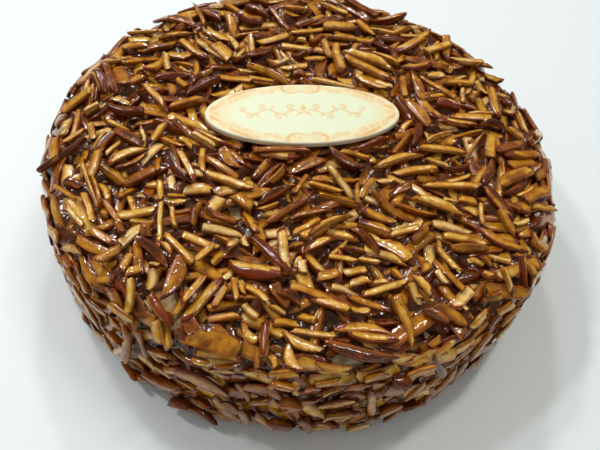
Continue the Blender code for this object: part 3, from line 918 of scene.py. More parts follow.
class CoatMap:
    """Heights over the cream on a grid: of the coat's outside, and of the caramel's surface in it.

    Each kind of map says in which cell a point falls (cells), where the cream lies under each cell
    (feet), which way is out there (outward), and which cells the caramel's surface joins (faces)."""

    def __init__(self, shape):
        self.shape = shape
        self.coat = np.full(shape, -1.0)

    def add(self, points):
        """Raises the coat to points of it."""
        u, v = self.cells(points)
        inside = (u >= 0) & (u < self.shape[0]) & (v >= 0) & (v < self.shape[1])
        np.maximum.at(self.coat, (u[inside], v[inside]), height_over_cream(points[inside]))

    def averaged(self):
        """The coat's height averaged over a square round each cell."""
        spread, steps = self.coat, range(-WEB_SPREAD, WEB_SPREAD + 1)
        for axis in (0, 1):
            spread = sum(np.roll(spread, step, axis) for step in steps) / len(steps)
        return spread

    def webs(self):
        """The level of caramel that bridges gaps: the narrower they are, the higher."""
        level = np.full(self.shape, UNKNOWN)
        for reach, drop in WEBS:
            closed = widened(widened(self.coat, reach, np.maximum), reach, np.minimum)
            level = np.maximum(level, closed - drop)
        return level

    def fill(self, bare):
        """Caramel as it lies: webs in narrow gaps, pools in wide ones, and none in the bare patches."""
        feet = self.feet()
        lumps = relief(feet, POOL_LUMPS, 0.7)
        level = np.minimum(self.webs(), self.averaged() + WEB_RISE) + WEB_RELIEF * lumps
        level = np.maximum(level, POOL_DEPTH + POOL_RELIEF * np.roll(lumps, POOL_SHIFT, 0))
        sizes = BARE_SIZES[0] + BARE_SIZES[1] * relief(feet, BARE_RAGGED, 0.8)
        for middle, _, radius in bare:
            apart = np.linalg.norm(feet - middle, axis=-1) / (radius * np.maximum(sizes, BARE_LEAST))
            level = np.minimum(level, BARE_DEPTH + BARE_SLOPE * np.maximum(apart - 1, 0))
        for axis in (0, 1, 0, 1):
            level = (2 * level + np.roll(level, 1, axis) + np.roll(level, -1, axis)) / 4
        self.level = level


def widened(grid, reach, pick):
    """Each cell's highest or lowest neighbour within a reach, as pick is maximum or minimum."""
    widest = grid
    for du in range(-reach, reach + 1):
        for dv in range(-reach, reach + 1):
            if du * du + dv * dv <= (reach + 0.3) ** 2:
                widest = pick(widest, np.roll(grid, (du, dv), (0, 1)))
    return widest


class TopMap(CoatMap):
    """The map of the cake's top: a square grid over its width."""

    def __init__(self):
        self.half = int(CREAM_RADIUS / WEB_STEP) + 4
        super().__init__((2 * self.half + 1, 2 * self.half + 1))

    def cells(self, points):
        return [np.rint(points[:, axis] / WEB_STEP).astype(int) + self.half for axis in (0, 1)]

    def feet(self):
        """The point of the cream at each cell."""
        steps = (np.arange(self.shape[0]) - self.half) * WEB_STEP
        x, y = np.meshgrid(steps, steps, indexing="ij")
        return np.stack((x, y, np.full(self.shape, CREAM_HEIGHT)), -1)

    def outward(self):
        return np.broadcast_to((0.0, 0.0, 1.0), (*self.shape, 3))

    def faces(self):
        inside = np.hypot(*self.feet()[..., :2].transpose(2, 0, 1)) < TOP_RUN
        for u in range(self.shape[0] - 1):
            for v in range(self.shape[1] - 1):
                if inside[u : u + 2, v : v + 2].all():
                    near = u * self.shape[1] + v
                    far = near + self.shape[1]
                    yield near, far, far + 1, near + 1


class SideMap(CoatMap):
    """The map of the rim and side: round the cake and down its profile."""

    def __init__(self):
        self.rows = int((PROFILE_RUN - SIDE_START) / WEB_STEP) + 1
        super().__init__((int(math.tau * CREAM_RADIUS / WEB_STEP), self.rows + 2 * WEB_SPREAD))

    def cells(self, points):
        turn = np.arctan2(points[:, 1], points[:, 0]) / math.tau % 1
        row = (run_of(points) - SIDE_START) / WEB_STEP
        column = np.rint(turn * self.shape[0]).astype(int) % self.shape[0]
        return column, np.rint(row).astype(int) + WEB_SPREAD

    def profile(self):
        """Radius, height and slope of the cream at each row."""
        runs = SIDE_START + (np.arange(self.shape[1]) - WEB_SPREAD) * WEB_STEP
        return np.array([profile_point(run) for run in np.minimum(runs, PROFILE_RUN - 0.2)]).T

    def rings(self, out, up):
        """Points or directions from their outward and upward shares at each row."""
        turns = np.arange(self.shape[0])[:, None] * math.tau / self.shape[0]
        return np.stack((np.cos(turns) * out, np.sin(turns) * out, np.broadcast_to(up, self.shape)), -1)

    def feet(self):
        radius, height, _ = self.profile()
        return self.rings(radius, height)

    def outward(self):
        slope = self.profile()[2]
        return self.rings(np.sin(slope), np.cos(slope))

    def faces(self):
        for u in range(self.shape[0]):
            following = (u + 1) % self.shape[0]
            for v in range(WEB_SPREAD, WEB_SPREAD + self.rows - 1):
                near, beside = u * self.shape[1] + v, following * self.shape[1] + v
                yield near, near + 1, beside + 1, beside


def coat_maps(laid):
    """The two maps, filled in from the laid slivers."""
    maps = {"caramel_top": TopMap(), "caramel_side": SideMap()}
    bare = bare_patches()
    for coat_map in maps.values():
        for group in laid.values():
            coat_map.add(closely_spaced(np.stack([sliver["points"] for sliver in group])))
        coat_map.fill(bare)
    return maps


def caramel_webs(name, coat_map):
    """The caramel's surface as a mesh of the cells that are used."""
    points = coat_map.feet() + coat_map.outward() * coat_map.level[..., None]
    points[..., 2] = np.maximum(points[..., 2], CARAMEL_GAP)
    faces = np.array(list(coat_map.faces()))
    used, faces = np.unique(faces, return_inverse=True)
    made = linked_mesh(name, points.reshape(-1, 3)[used], faces.reshape(-1, 4).tolist())
    add_attributes(made, height=coat_map.level.ravel()[used])
    made.data.shade_smooth()
    return made


# ---------------------------------------------------------------- crumbs and cream

def crumb_shape(draw):
    """A small broken flake: a few uneven rings, smaller at its ends."""
    form = (len(CRUMB_ENDS), len(CRUMB_TURNS))
    length = draw.uniform(*CRUMB_SIZES)
    wide = length * np.array((draw.uniform(*CRUMB_WIDTHS), draw.uniform(*CRUMB_DEPTHS)))
    turns = CRUMB_TURNS + draw.uniform(-0.25, 0.25, form[1])
    uneven = draw.uniform(0.8, 1.15, form) * np.array((0.7, 1.0, 1.0, 0.6))[:, None]
    points = np.empty((*form, 3))
    points[..., 0] = (np.array(CRUMB_ENDS) * length)[:, None] + draw.normal(0, 0.06, form) * length
    points[..., 1] = np.cos(turns) * wide[0] * uneven
    points[..., 2] = np.sin(turns) * wide[1] * uneven
    return points


def crumb_place(draw, maps):
    """A random middle and set of axes for a crumb in the coat; None if there is no room."""
    run, turn, _ = thrown_place(draw)
    foot, normal, around, down = surface_axes(run, turn)
    coat_map = maps["caramel_top" if run < TOP_RUN else "caramel_side"]
    u, v = (cell[0] for cell in coat_map.cells(foot[None]))
    height = max(coat_map.coat[u, v] - CRUMB_SINK, coat_map.level[u, v])
    middle = foot + normal * height
    if height < CRUMB_LOWEST or middle[2] < CRUMB_FLOOR or in_plaque(middle[None], CRUMB_MARGIN)[0]:
        return None
    heading = draw.uniform(0, math.tau)
    forward = around * math.cos(heading) + down * math.sin(heading) + normal * draw.normal(0, CRUMB_SLOPE)
    forward /= np.linalg.norm(forward)
    across = np.cross(normal, forward)
    across /= np.linalg.norm(across)
    return middle, np.array((forward, across, np.cross(forward, across)))


def almond_crumbs(maps):
    """Crumbs lying in the caramel and on the slivers, as one mesh."""
    draw = np.random.default_rng(SEED + 1)
    shapes, places = [], []
    while len(places) < CRUMBS:
        found = crumb_place(draw, maps)
        if found:
            shapes.append(crumb_shape(draw))
            places.append(found[0] + shapes[-1] @ found[1])
    rings, around = shapes[0].shape[:2]
    size = rings * around
    local = np.concatenate(shapes).reshape(-1, 3) + np.repeat(np.arange(CRUMBS), size)[:, None] * CRUMB_GRAIN
    outward = np.concatenate([(place - place.mean((0, 1))).reshape(-1, 3) for place in places])
    faces = copied_faces(ring_faces(around, rings), size, CRUMBS)
    made = linked_mesh("almond_crumbs", np.concatenate(places).reshape(-1, 3), faces)
    add_attributes(
        made,
        tone=np.repeat(draw.uniform(*CRUMB_TONES, CRUMBS), size),
        skin=np.repeat(draw.random(CRUMBS) < CRUMB_SKINNED, size),
        height=np.full(len(local), SHALLOW),
        sunk=np.full(len(local), CRUMB_SUNK),
        edge=np.tile(np.repeat(CRUMB_EDGES, around), CRUMBS),
    )
    add_attributes(made, **dict(zip(ALMOND_AXES, local.T)), **dict(zip(GLAZE_AXES, outward.T)))
    face_true_normals(made.data)
    return made


def cream_wave(turn, radius, height):
    """How far the spread cream stands out or sinks in at a point, less close to the table."""
    wave = math.sin(5 * turn + height / 9) + math.sin(9 * turn - radius / 7 + height / 5)
    return CREAM_WAVE * 0.5 * wave * min(1.0, height / 3)


def cream_mask():
    """The cream as spread: the turned profile with a flat underside and a slight waviness."""
    outline = [profile_point(TOP_RUN * share)[:2] for share in np.linspace(0.03, 1, 34)]
    outline += [profile_point(TOP_RUN + RIM_RUN * step / 8)[:2] for step in range(1, 9)]
    outline += [(CREAM_RADIUS, height) for height in np.linspace(SIDE_RUN, BASE_CHAMFER, 20)[1:]]
    outline += [((CREAM_RADIUS - BASE_CHAMFER) * share, 0.0) for share in (1, 0.75, 0.5, 0.25)]
    points = []
    for radius, height in outline:
        on_side = radius > CREAM_RADIUS - 0.1
        for step in range(CREAM_SEGMENTS):
            turn = math.tau * step / CREAM_SEGMENTS
            wave = cream_wave(turn, radius, height)
            wide = radius + wave * on_side
            lift = wave * (height > 1 and not on_side)
            points.append((wide * math.cos(turn), wide * math.sin(turn), height + lift))
    made = linked_mesh("cream_mask", points, ring_faces(CREAM_SEGMENTS, len(outline)))
    made.data.shade_smooth()
    return made


# ---------------------------------------------------------------- materials

class Shader:
    """A material's node tree, with short ways to add and join its nodes."""

    def __init__(self, name):
        self.made = bpy.data.materials.new(name)
        self.made.use_nodes = True
        self.nodes = self.made.node_tree.nodes
        self.links = self.made.node_tree.links
        self.main = self.nodes["Principled BSDF"]

    def set(self, **values):
        """Sets constants on the Principled BSDF: underscores stand for the spaces in its sockets' names."""
        for name, value in values.items():
            self.main.inputs[name.replace("_", " ")].default_value = value

    def node(self, kind, inputs=(), **settings):
        made = self.nodes.new("ShaderNode" + kind)
        for name, value in settings.items():
            setattr(made, name, value)
        for name, value in dict(inputs).items():
            if isinstance(value, bpy.types.NodeSocket):
                self.links.new(value, made.inputs[name])
            else:
                made.inputs[name].default_value = value
        return made

    def join(self, output, name):
        self.links.new(output, self.main.inputs[name])

    def place(self):
        """Where a point lies on the piece."""
        return self.node("TexCoord").outputs["Object"]

    def value(self, name):
        """A number that is stored at the points."""
        return self.node("Attribute", attribute_name=name).outputs["Fac"]

    def vector(self, names):
        """Three of them as one vector."""
        parts = {part: self.value(name) for part, name in zip("XYZ", names)}
        return self.node("CombineXYZ", parts).outputs[0]

    def math(self, operation, first, second, third=0.0, shift=0.0):
        """A sum on two or three values, with a shift added to the last of them."""
        if shift:
            third = self.math("ADD", third, shift)
        return self.node("Math", {0: first, 1: second, 2: third}, operation=operation).outputs[0]

    def between(self, value, low, high):
        """How far a value has come from low to high, from 0 to 1, eased."""
        ends = {"Value": value, "From Min": low, "From Max": high}
        return self.node("MapRange", ends, interpolation_type="SMOOTHSTEP").outputs["Result"]

    def noise(self, vector, scale, detail=3.0, rough=0.5):
        sockets = {"Vector": vector, "Scale": scale, "Detail": detail, "Roughness": rough}
        return self.node("TexNoise", sockets).outputs["Fac"]

    def scaled(self, vector, factors):
        return self.node("VectorMath", {0: vector, 1: factors}, operation="MULTIPLY").outputs[0]

    def ramp(self, factor, stops):
        made = self.node("ValToRGB", {"Fac": factor})
        elements = made.color_ramp.elements
        while len(elements) < len(stops):
            elements.new(0.5)
        for element, (position, colour) in zip(elements, stops):
            element.position = position
            element.color = (*colour, 1.0)
        return made.outputs["Color"]

    def mix(self, factor, first, second):
        """A colour that turns from the first to the second as the factor goes from 0 to 1."""
        made = self.node("Mix", data_type="RGBA")
        for name, value in (("Factor", factor), ("A", first), ("B", second)):
            socket = next(socket for socket in made.inputs if socket.name == name and socket.enabled)
            if isinstance(value, bpy.types.NodeSocket):
                self.links.new(value, socket)
            else:
                socket.default_value = (*value, 1.0)
        return next(socket for socket in made.outputs if socket.enabled)

    def glazed(self):
        """The normal of the glaze: between the sliver's own and the rounder one that it carries."""
        rounder = self.node("VectorMath", {0: self.vector(GLAZE_AXES)}, operation="NORMALIZE").outputs[0]
        own = self.scaled(self.node("NewGeometry").outputs["Normal"], (GLAZE_OWN,) * 3)
        both = self.node("VectorMath", {0: rounder, 1: own}, operation="ADD").outputs[0]
        return self.node("VectorMath", {0: both}, operation="NORMALIZE").outputs[0]

    def bump(self, height, strength, distance, normal=None):
        inputs = {"Height": height, "Strength": strength, "Distance": distance}
        if normal is not None:
            inputs["Normal"] = normal
        return self.node("Bump", inputs).outputs["Normal"]


GLAZE_OWN = 0.45            # share of the sliver's own normal in its glaze's
FLESH = (                   # almond flesh, from pale to burnt
    (0.00, (0.82, 0.70, 0.400)),
    (0.12, (0.74, 0.56, 0.170)),
    (0.28, (0.64, 0.40, 0.046)),
    (0.48, (0.49, 0.250, 0.010)),
    (0.66, (0.32, 0.126, 0.004)),
    (0.85, (0.165, 0.042, 0.001)),
    (1.00, (0.050, 0.010, 0.001)),
)
SKIN = (                    # and its skin
    (0.0, (0.380, 0.052, 0.004)),
    (0.5, (0.130, 0.014, 0.002)),
    (1.0, (0.030, 0.004, 0.002)),
)
GLAZED = (0.290, 0.078, 0.004)          # an almond's edges under thin caramel
SOAKED_AND_SHADED = (0.170, 0.036, 0.002)          # its lower side, where the caramel gathers and where shade is painted under the sliver
POOLED_AND_SHADED = (0.100, 0.018, 0.001)          # deep among the slivers: dark caramel, and painted shade in the gaps; also the drips' colour
DEEP = 0.4                              # heights over the cream, in millimetres, from where the slivers are drowned in dark caramel and painted shade to where they are clear
SHALLOW = 2.8                           # slivers are drowned in dark caramel to where they are clear
CARAMEL_AND_GAP_SHADE = ((0.0, (0.034, 0.006, 0.001)), (1.0, (0.140, 0.032, 0.002)))    # from deep, darkened partly as painted shade in the gaps, to thin
CARAMEL_HEIGHTS = (0.5, 5.5)            # the heights over the cream where it is so
CREAM = ((0.50, 0.32, 0.13), (0.74, 0.57, 0.33))
IVORY = ((0.78, 0.85, 0.60), (0.82, 0.88, 0.66))
BORDER_IVORY = (0.86, 0.76, 0.46)
RIM_IVORY = (0.86, 0.82, 0.60)
INK = (0.84, 0.47, 0.150)
TABLE = ((0.82, 0.90, 0.94), (0.85, 0.93, 0.96))


def toasted(shader, local, grain):
    """How dark the almond is toasted at each point: its tone, in patches and along the grain."""
    patches = shader.noise(local, 0.28, 3.0, 0.55)
    toast = shader.math("MULTIPLY_ADD", patches, 1.05, shader.value("tone"), shift=-0.50)
    return shader.math("MULTIPLY_ADD", grain, 0.35, toast, shift=-0.175)


def nut_colour(shader, local):
    """Flesh or skin, darkened by caramel on edges and in drips, and by caramel and painted shade
    on lower sides and deep in the coat.
    """
    grain = shader.noise(shader.scaled(local, (0.25, 1.9, 1.9)), 1.0, 4.0, 0.6)
    toast = toasted(shader, local, grain)
    bark = shader.math("MULTIPLY_ADD", toast, 0.6, shader.math("MULTIPLY", grain, 0.4))
    blotches = shader.noise(local, 0.9, 2.0, 0.5)
    skin = shader.between(shader.math("MULTIPLY_ADD", blotches, 0.3, shader.value("skin")), 0.60, 0.74)
    nut = shader.mix(skin, shader.ramp(toast, FLESH), shader.ramp(bark, SKIN))
    edge = shader.between(shader.math("MULTIPLY_ADD", blotches, 0.6, shader.value("edge")), 0.60, 1.28)
    # the lower side of each sliver is darkened: caramel gathering there, and painted shade under it
    lower = shader.between(shader.math("MULTIPLY_ADD", blotches, 0.6, shader.value("sunk")), 0.42, 1.02)
    nut = shader.mix(shader.math("MULTIPLY", edge, 0.8), nut, shader.mix(skin, GLAZED, SOAKED_AND_SHADED))
    nut = shader.mix(shader.math("MULTIPLY", lower, 0.9), nut, shader.mix(skin, SOAKED_AND_SHADED, POOLED_AND_SHADED))
    # deep in the coat the slivers turn to the pooled colour: dark caramel, and painted shade in the gaps
    drowned_and_shaded = shader.math("MULTIPLY", shader.between(shader.value("height"), SHALLOW, DEEP), 0.75)
    drips = shader.between(shader.noise(shader.place(), 130.0, 2.0, 0.5), 0.57, 0.70)
    return shader.mix(shader.math("MAXIMUM", drowned_and_shaded, shader.math("MULTIPLY", drips, 0.6)), nut, POOLED_AND_SHADED)


def almond_material(name):
    """Toasted almond under a lumpy clear caramel glaze."""
    shader = Shader(name)
    local = shader.vector(ALMOND_AXES)
    shader.join(nut_colour(shader, local), "Base Color")
    ridges = shader.noise(shader.scaled(local, (0.35, 4.0, 4.0)), 1.0, 2.0, 0.5)
    fine = shader.bump(ridges, 0.4, 0.12 * MM)
    shader.join(shader.bump(shader.noise(local, 0.6, 2.0, 0.5), 0.25, 0.5 * MM, fine), "Normal")
    runs = shader.bump(shader.noise(local, 1.3, 2.0, 0.5), 0.25, 0.2 * MM, shader.glazed())
    swells = shader.noise(local, 0.55, 1.0, 0.5)
    shader.join(shader.bump(swells, 0.4, 0.5 * MM, runs), "Coat Normal")
    shader.set(Roughness=0.26, Specular_IOR_Level=0.15, Specular_Tint=(1.0, 0.60, 0.25, 1.0))
    shader.set(Subsurface_Weight=0.20, Subsurface_Scale=1.2 * MM, Subsurface_Radius=(1.0, 0.45, 0.15))
    shader.set(Coat_Weight=1.0, Coat_Roughness=0.03, Coat_IOR=1.50, Coat_Tint=(1.0, 0.84, 0.58, 1.0))
    return shader.made


def cream_material():
    """Pale coffee cream."""
    shader = Shader("coffee_cream")
    shader.join(shader.mix(shader.noise(shader.place(), 90.0, 3.0, 0.55), *CREAM), "Base Color")
    shader.join(shader.bump(shader.noise(shader.place(), 300.0), 0.4, 0.4 * MM), "Normal")
    shader.set(Roughness=0.5, Specular_IOR_Level=0.2, Coat_Weight=0.6, Coat_Roughness=0.1)
    return shader.made


def caramel_material():
    """Dark, glossy caramel, lighter where it stands high and thin between the slivers.

    Its darkening low in the gaps is partly painted shade.
    """
    shader = Shader("dark_caramel")
    place = shader.place()
    uneven = shader.noise(place, 220.0, 3.0, 0.5)
    lift = shader.math("MULTIPLY_ADD", uneven, 3.0, shader.value("height"), shift=-1.5)
    # the caramel is darker low in the gaps, partly as painted shade
    shader.join(shader.ramp(shader.between(lift, *CARAMEL_HEIGHTS), CARAMEL_AND_GAP_SHADE), "Base Color")
    shader.join(shader.bump(shader.noise(place, 420.0, 2.0), 0.5, 0.5 * MM), "Normal")
    shader.join(shader.bump(shader.noise(place, 600.0, 1.0), 0.6, 0.5 * MM), "Coat Normal")
    shader.set(Roughness=0.3, Specular_IOR_Level=0.2, Specular_Tint=(1.0, 0.62, 0.30, 1.0))
    shader.set(Coat_Weight=0.8, Coat_Roughness=0.04, Coat_IOR=1.45)
    return shader.made


def plaque_material():
    """Ivory white chocolate with a soft golden print, and a creamier border and rim."""
    shader = Shader("white_chocolate")
    place = shader.place()
    tint = shader.noise(place, 110.0, 2.0, 0.5)
    border = shader.math("MULTIPLY", shader.value("border"), 0.8)
    ivory = shader.mix(border, shader.mix(tint, *IVORY), BORDER_IVORY)
    fade = shader.math("MULTIPLY_ADD", shader.noise(place, 420.0, 2.0, 0.6), 0.8, 0.65)
    ink = shader.math("MULTIPLY", shader.value("ink"), fade)
    shader.join(shader.mix(ink, shader.mix(shader.value("rim"), ivory, RIM_IVORY), INK), "Base Color")
    shader.join(shader.bump(tint, 0.2, 0.1 * MM), "Normal")
    shader.set(Roughness=0.42, Specular_IOR_Level=0.3)
    return shader.made


def table_material():
    """A pale, plain table."""
    shader = Shader("pale_table")
    shader.join(shader.mix(shader.noise(shader.place(), 4.0, 2.0, 0.5), *TABLE), "Base Color")
    shader.set(Roughness=0.5)
    return shader.made


# ---------------------------------------------------------------- the plaque

PLAQUE_SEGMENTS = 320
PLAQUE_RINGS = 60
PLAQUE_EDGE = 0.7           # rounding of its edges, in millimetres
EDGE_STEPS = 5
INK_FADE = 0.42             # softness of the printed strokes, in millimetres
BORDER_START = 0.70         # shares of the way out from the middle where the creamier border starts
BORDER_FADE = 0.12          # and comes in
RIM_START = 0.94            # and the same of the rim
RIM_FADE = 0.03


def smooth_stroke(ends, widths, strength):
    """A printed stroke through a few points: rows of place, half width and strength."""
    points = np.array(ends, float)
    padded = np.vstack((2 * points[0] - points[1], points, 2 * points[-1] - points[-2]))
    rows = []
    for before, start, end, after in zip(padded, padded[1:], padded[2:], padded[3:]):
        curve = (
            2 * start, end - before, 2 * before - 5 * start + 4 * end - after,
            3 * start - before - 3 * end + after,
        )
        for t in np.linspace(0, 1, 7)[:-1]:
            rows.append(0.5 * sum(part * t**power for power, part in enumerate(curve)))
    rows.append(points[-1])
    wide = np.interp(np.linspace(0, 1, len(rows)), np.linspace(0, 1, len(widths)), widths)
    return np.column_stack((rows, wide, np.full(len(rows), strength)))


def scroll(middle, radii, start, turns, width, strength):
    """A printed curl that winds in from the first radius to the second; start in degrees, turns signed."""
    t = np.linspace(0, 1, 20)
    angle = math.radians(start) + math.tau * turns * t
    radius = radii[0] + (radii[1] - radii[0]) * t
    x, y = middle[0] + radius * np.cos(angle), middle[1] + radius * np.sin(angle)
    return np.column_stack((x, y, width * (1 - 0.4 * t), np.full(20, strength)))


def leaf(base, tip, width, strength):
    """A printed leaf: a stroke that swells in the middle."""
    base, tip = np.array(base), np.array(tip)
    side = np.array((base[1] - tip[1], tip[0] - base[0])) * 0.12
    return smooth_stroke((base, (base + tip) / 2 + side, tip), (0.05, width, width * 0.7, 0.02), strength)


def border_strokes():
    """A quarter of the scroll border, in millimetres from the plaque's middle."""
    return [
        smooth_stroke(
            ((7.0, 14.1), (7.0, 12.5), (5.6, 11.1), (3.2, 10.4), (0.0, 11.6)), (0.7, 0.55, 0.3, 0.2), 0.85
        ),
        scroll((3.2, 12.6), (1.9, 0.4), 215, 1.3, 0.24, 0.6),
        smooth_stroke(((8.4, 13.9), (9.6, 12.7), (11.6, 11.4), (13.8, 11.2)), (0.2, 0.3, 0.15), 0.55),
        scroll((10.9, 11.3), (1.1, 0.3), 80, -1.1, 0.25, 0.6),
        scroll((14.4, 11.5), (1.1, 0.3), 250, 1.1, 0.25, 0.55),
        leaf((12.2, 10.9), (15.4, 9.9), 0.42, 0.55),
        leaf((16.4, 12.2), (19.2, 10.3), 0.5, 0.6),
        smooth_stroke(((17.6, 12.7), (21.2, 11.3), (24.6, 9.6), (27.6, 7.7)), (0.25, 0.55, 0.65, 0.3), 0.95),
        scroll((20.3, 9.6), (1.3, 0.35), 60, -1.2, 0.3, 0.6),
        leaf((23.0, 9.9), (20.7, 7.7), 0.5, 0.65),
        scroll((24.6, 7.4), (1.3, 0.3), 70, 1.2, 0.32, 0.7),
        leaf((27.0, 7.8), (25.6, 4.9), 0.5, 0.6),
        scroll((29.0, 5.6), (1.3, 0.3), 100, -1.2, 0.3, 0.65),
        leaf((31.0, 6.0), (29.4, 2.9), 0.45, 0.5),
        smooth_stroke(((34.3, 0.5), (33.4, 2.0), (31.6, 3.3), (30.0, 4.4)), (0.15, 0.7, 0.6, 0.1), 0.9),
        leaf((34.3, 0.9), (33.6, 4.3), 0.5, 0.8),
        leaf((33.6, 0.3), (30.4, 1.1), 0.45, 0.6),
    ]


CURLS = (                   # of the flourish: middle, radius, start in degrees and way round
    ((4.6, 3.2), 1.5, 250, 1), ((9.3, -1.9), 1.5, 100, -1), ((14.9, 3.2), 1.5, 250, 1),
    ((19.6, -1.6), 1.4, 100, -1), ((22.0, 2.0), 1.2, 260, 1),
)
LEAVES = (                  # and foot, tip, half width and strength of print
    ((7.0, 0.0), (6.2, -2.4), 0.45, 0.75), ((12.2, 1.6), (11.2, 3.9), 0.45, 0.75),
    ((17.4, 0.2), (16.4, -2.3), 0.45, 0.75), ((0.0, 0.7), (0.0, 4.3), 0.6, 0.8),
    ((0.3, 0.4), (2.6, -1.8), 0.5, 0.8),
)


def flourish_strokes():
    """Half of the flourish in the middle: a waving vine with curls and leaves."""
    vine = [(x, 0.5 + 1.25 * math.sin(x * 0.58) * min(1, x / 4)) for x in np.linspace(1.2, 21.6, 18)]
    strokes = [smooth_stroke(vine, (0.16, 0.34, 0.18, 0.36, 0.16, 0.34, 0.2), 0.8)]
    for middle, radius, start, way in CURLS:
        strokes.append(scroll(middle, (radius, 0.3), start, way * 1.25, 0.28, 0.75))
    return strokes + [leaf(*row) for row in LEAVES]


def inked(points):
    """How strongly the print covers each point of the plaque."""
    ink = np.zeros(len(points))
    quarters = [(across, deep) for across in (1, -1) for deep in (1, -1)]
    mirrored = [(stroke, *quarter) for stroke in border_strokes() for quarter in quarters]
    mirrored += [(stroke, across, 1) for stroke in flourish_strokes() for across in (1, -1)]
    for stroke, across, deep in mirrored:
        line = stroke[:, :2] * (across, deep)
        start, step = line[:-1], np.diff(line, axis=0)
        length = np.maximum((step * step).sum(1), 1e-9)
        offset = points[:, None] - start
        share = np.clip((offset * step).sum(2) / length, 0, 1)
        apart = np.linalg.norm(offset - share[..., None] * step, axis=2)
        wide = stroke[:-1, 2] + share * np.diff(stroke[:, 2])
        cover = np.clip((wide + INK_FADE - apart) / (2 * INK_FADE), 0, 1)
        ink = np.maximum(ink, (cover * cover * (3 - 2 * cover)).max(1) * stroke[0, 3])
    return ink


def plaque_outline(half):
    """Rings from the plaque's underside to its middle: height, and shares of its width and depth."""
    lower = []
    for step in range(EDGE_STEPS + 1):
        slope = math.pi / 2 * (1 - step / EDGE_STEPS)
        lower.append((-half[2] + PLAQUE_EDGE * (1 - math.sin(slope)), PLAQUE_EDGE * (1 - math.cos(slope))))
    upper = [(-height, inset) for height, inset in reversed(lower)]
    outline = [(height, 1 - inset / half[0], 1 - inset / half[1]) for height, inset in lower + upper]
    height, wide, deep = outline[-1]
    shares = np.linspace(1, 0.02, PLAQUE_RINGS)[1:]
    return outline + [(height, wide * share, deep * share) for share in shares]


def plaque_body():
    """The oval disc with rounded edges, in the place of its solid, and the print on it."""
    middle = np.array((PLAQUE_LOW + PLAQUE_HIGH) / 2) / MM
    half = np.array(PLAQUE_HIGH - PLAQUE_LOW) / 2 / MM
    outline = plaque_outline(half)
    turns = np.arange(PLAQUE_SEGMENTS) * math.tau / PLAQUE_SEGMENTS
    oval = np.column_stack((half[0] * np.cos(turns), half[1] * np.sin(turns), np.ones(PLAQUE_SEGMENTS)))
    local = np.concatenate([oval * (wide, deep, height) for height, wide, deep in outline])
    faces = [(face[0], *face[:0:-1]) for face in ring_faces(PLAQUE_SEGMENTS, len(outline))]
    made = linked_mesh("plaque_body", local + middle, faces)
    out = np.hypot(local[:, 0] / half[0], local[:, 1] / half[1])
    on_top = local[:, 2] > half[2] - 0.01
    add_attributes(
        made,
        ink=np.where(on_top, inked(local[:, :2]), 0),
        border=np.clip((out - BORDER_START) / BORDER_FADE, 0, 1) * on_top,
        rim=np.maximum(np.clip((out - RIM_START) / RIM_FADE, 0, 1), ~on_top),
    )
    made.data.shade_smooth()
    made.data.set_sharp_from_angle(angle=math.radians(40))
    return made


# ---------------------------------------------------------------- camera, light and table

def add_camera():
    """The camera at the photo's viewing angle."""
    data = bpy.data.cameras.new("camera")
    data.sensor_width = SENSOR
    data.lens = FOCAL_PIXELS / IMAGE_WIDTH * SENSOR
    data.clip_start = 0.01
    camera = bpy.data.objects.new("camera", data)
    bpy.context.scene.collection.objects.link(camera)
    place, right, up, back = camera_frame()
    turn = Matrix((right, up, back)).transposed().to_4x4()
    turn.translation = place * MM
    camera.matrix_world = turn
    bpy.context.scene.camera = camera


LIGHT_AIM = Vector((0, 0, 0.03))
PANE = ((0.10, 0.08), 2.5, (1.0, 1.0, 1.0))
LIGHTS = {                  # places and sizes in metres, powers in watts and colours
    "window": ((-0.55, 0.75, 0.95), (0.50, 0.34), 2.2, (1.0, 1.0, 0.96)),
    "pane_0": ((-0.42, 0.62, 1.00), *PANE),     # the bright panes that the glaze mirrors
    "pane_1": ((-0.62, 0.20, 0.95), *PANE),
    "pane_2": ((0.02, 0.85, 0.90), *PANE),
    "ceiling": ((0.35, 0.25, 1.2), (0.08, 0.40), 3.5, (1.0, 0.97, 0.90)),
    "front_fill": ((0.2, -0.9, 0.5), (0.3, 0.3), 0.5, (1.0, 0.98, 0.95)),
}
SKY_STRENGTHS = {"From Min": 0.0, "From Max": 0.9, "To Min": 0.20, "To Max": 0.38}     # by its height
SKY_COLOUR = (0.95, 0.91, 0.84, 1)
TABLE_SIZE = 6.0
TABLE_DROP = 0.0004         # gap under the cake


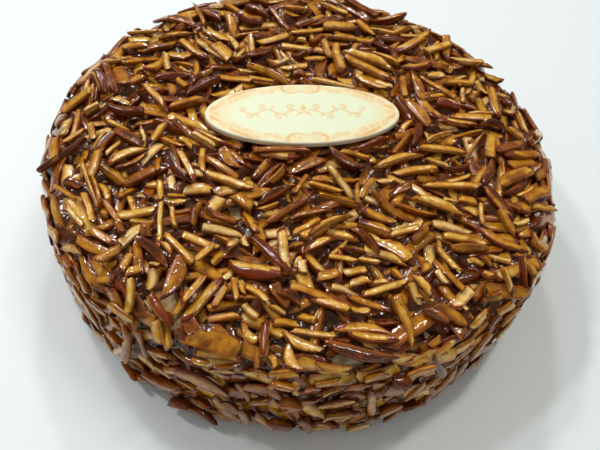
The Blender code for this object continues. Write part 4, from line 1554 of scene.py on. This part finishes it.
def add_light(name, place, size, power, colour):
    """A soft lamp that faces the cake."""
    data = bpy.data.lights.new(name, "AREA")
    data.shape = "RECTANGLE"
    data.size, data.size_y = size
    data.energy = power
    data.color = colour
    light = bpy.data.objects.new(name, data)
    light.location = place
    light.rotation_euler = (LIGHT_AIM - Vector(place)).to_track_quat("-Z", "Y").to_euler()
    bpy.context.scene.collection.objects.link(light)


def sky():
    """Soft light from all round, stronger from above."""
    world = bpy.data.worlds.new("sky")
    world.use_nodes = True
    nodes, links = world.node_tree.nodes, world.node_tree.links
    direction = nodes.new("ShaderNodeSeparateXYZ")
    links.new(nodes.new("ShaderNodeTexCoord").outputs["Generated"], direction.inputs[0])
    strength = nodes.new("ShaderNodeMapRange")
    for name, value in SKY_STRENGTHS.items():
        strength.inputs[name].default_value = value
    links.new(direction.outputs["Z"], strength.inputs["Value"])
    background = nodes["Background"]
    background.inputs["Color"].default_value = SKY_COLOUR
    links.new(strength.outputs["Result"], background.inputs["Strength"])
    return world


def add_studio():
    """A pale table, a soft sky and soft lights above and behind."""
    bpy.ops.mesh.primitive_plane_add(size=TABLE_SIZE, location=(0, 0, -TABLE_DROP))
    table = bpy.context.object
    table.name = "table"
    table.data.materials.append(table_material())
    bpy.context.scene.world = sky()
    for name, settings in LIGHTS.items():
        add_light(name, *settings)


# ---------------------------------------------------------------- putting it together

def dress(piece, material, node="cake"):
    """Gives a piece its material, and the node whose place it takes."""
    piece.data.materials.clear()
    piece.data.materials.append(material)
    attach(piece, "root")
    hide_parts(node)


def build():
    """The whole cake, and the studio round it."""
    dress(cream_mask(), cream_material())
    laid = lay_slivers()
    maps = coat_maps(laid)
    caramel = caramel_material()
    for name, coat_map in maps.items():
        dress(caramel_webs(name, coat_map), caramel)
    for name, group in laid.items():
        dress(joined_slivers(name, group), almond_material(name))
    dress(almond_crumbs(maps), almond_material("almond_crumbs"))
    dress(plaque_body(), plaque_material(), "plaque")
    add_camera()
    add_studio()
    bpy.context.scene.view_settings.view_transform = "Standard"


build()
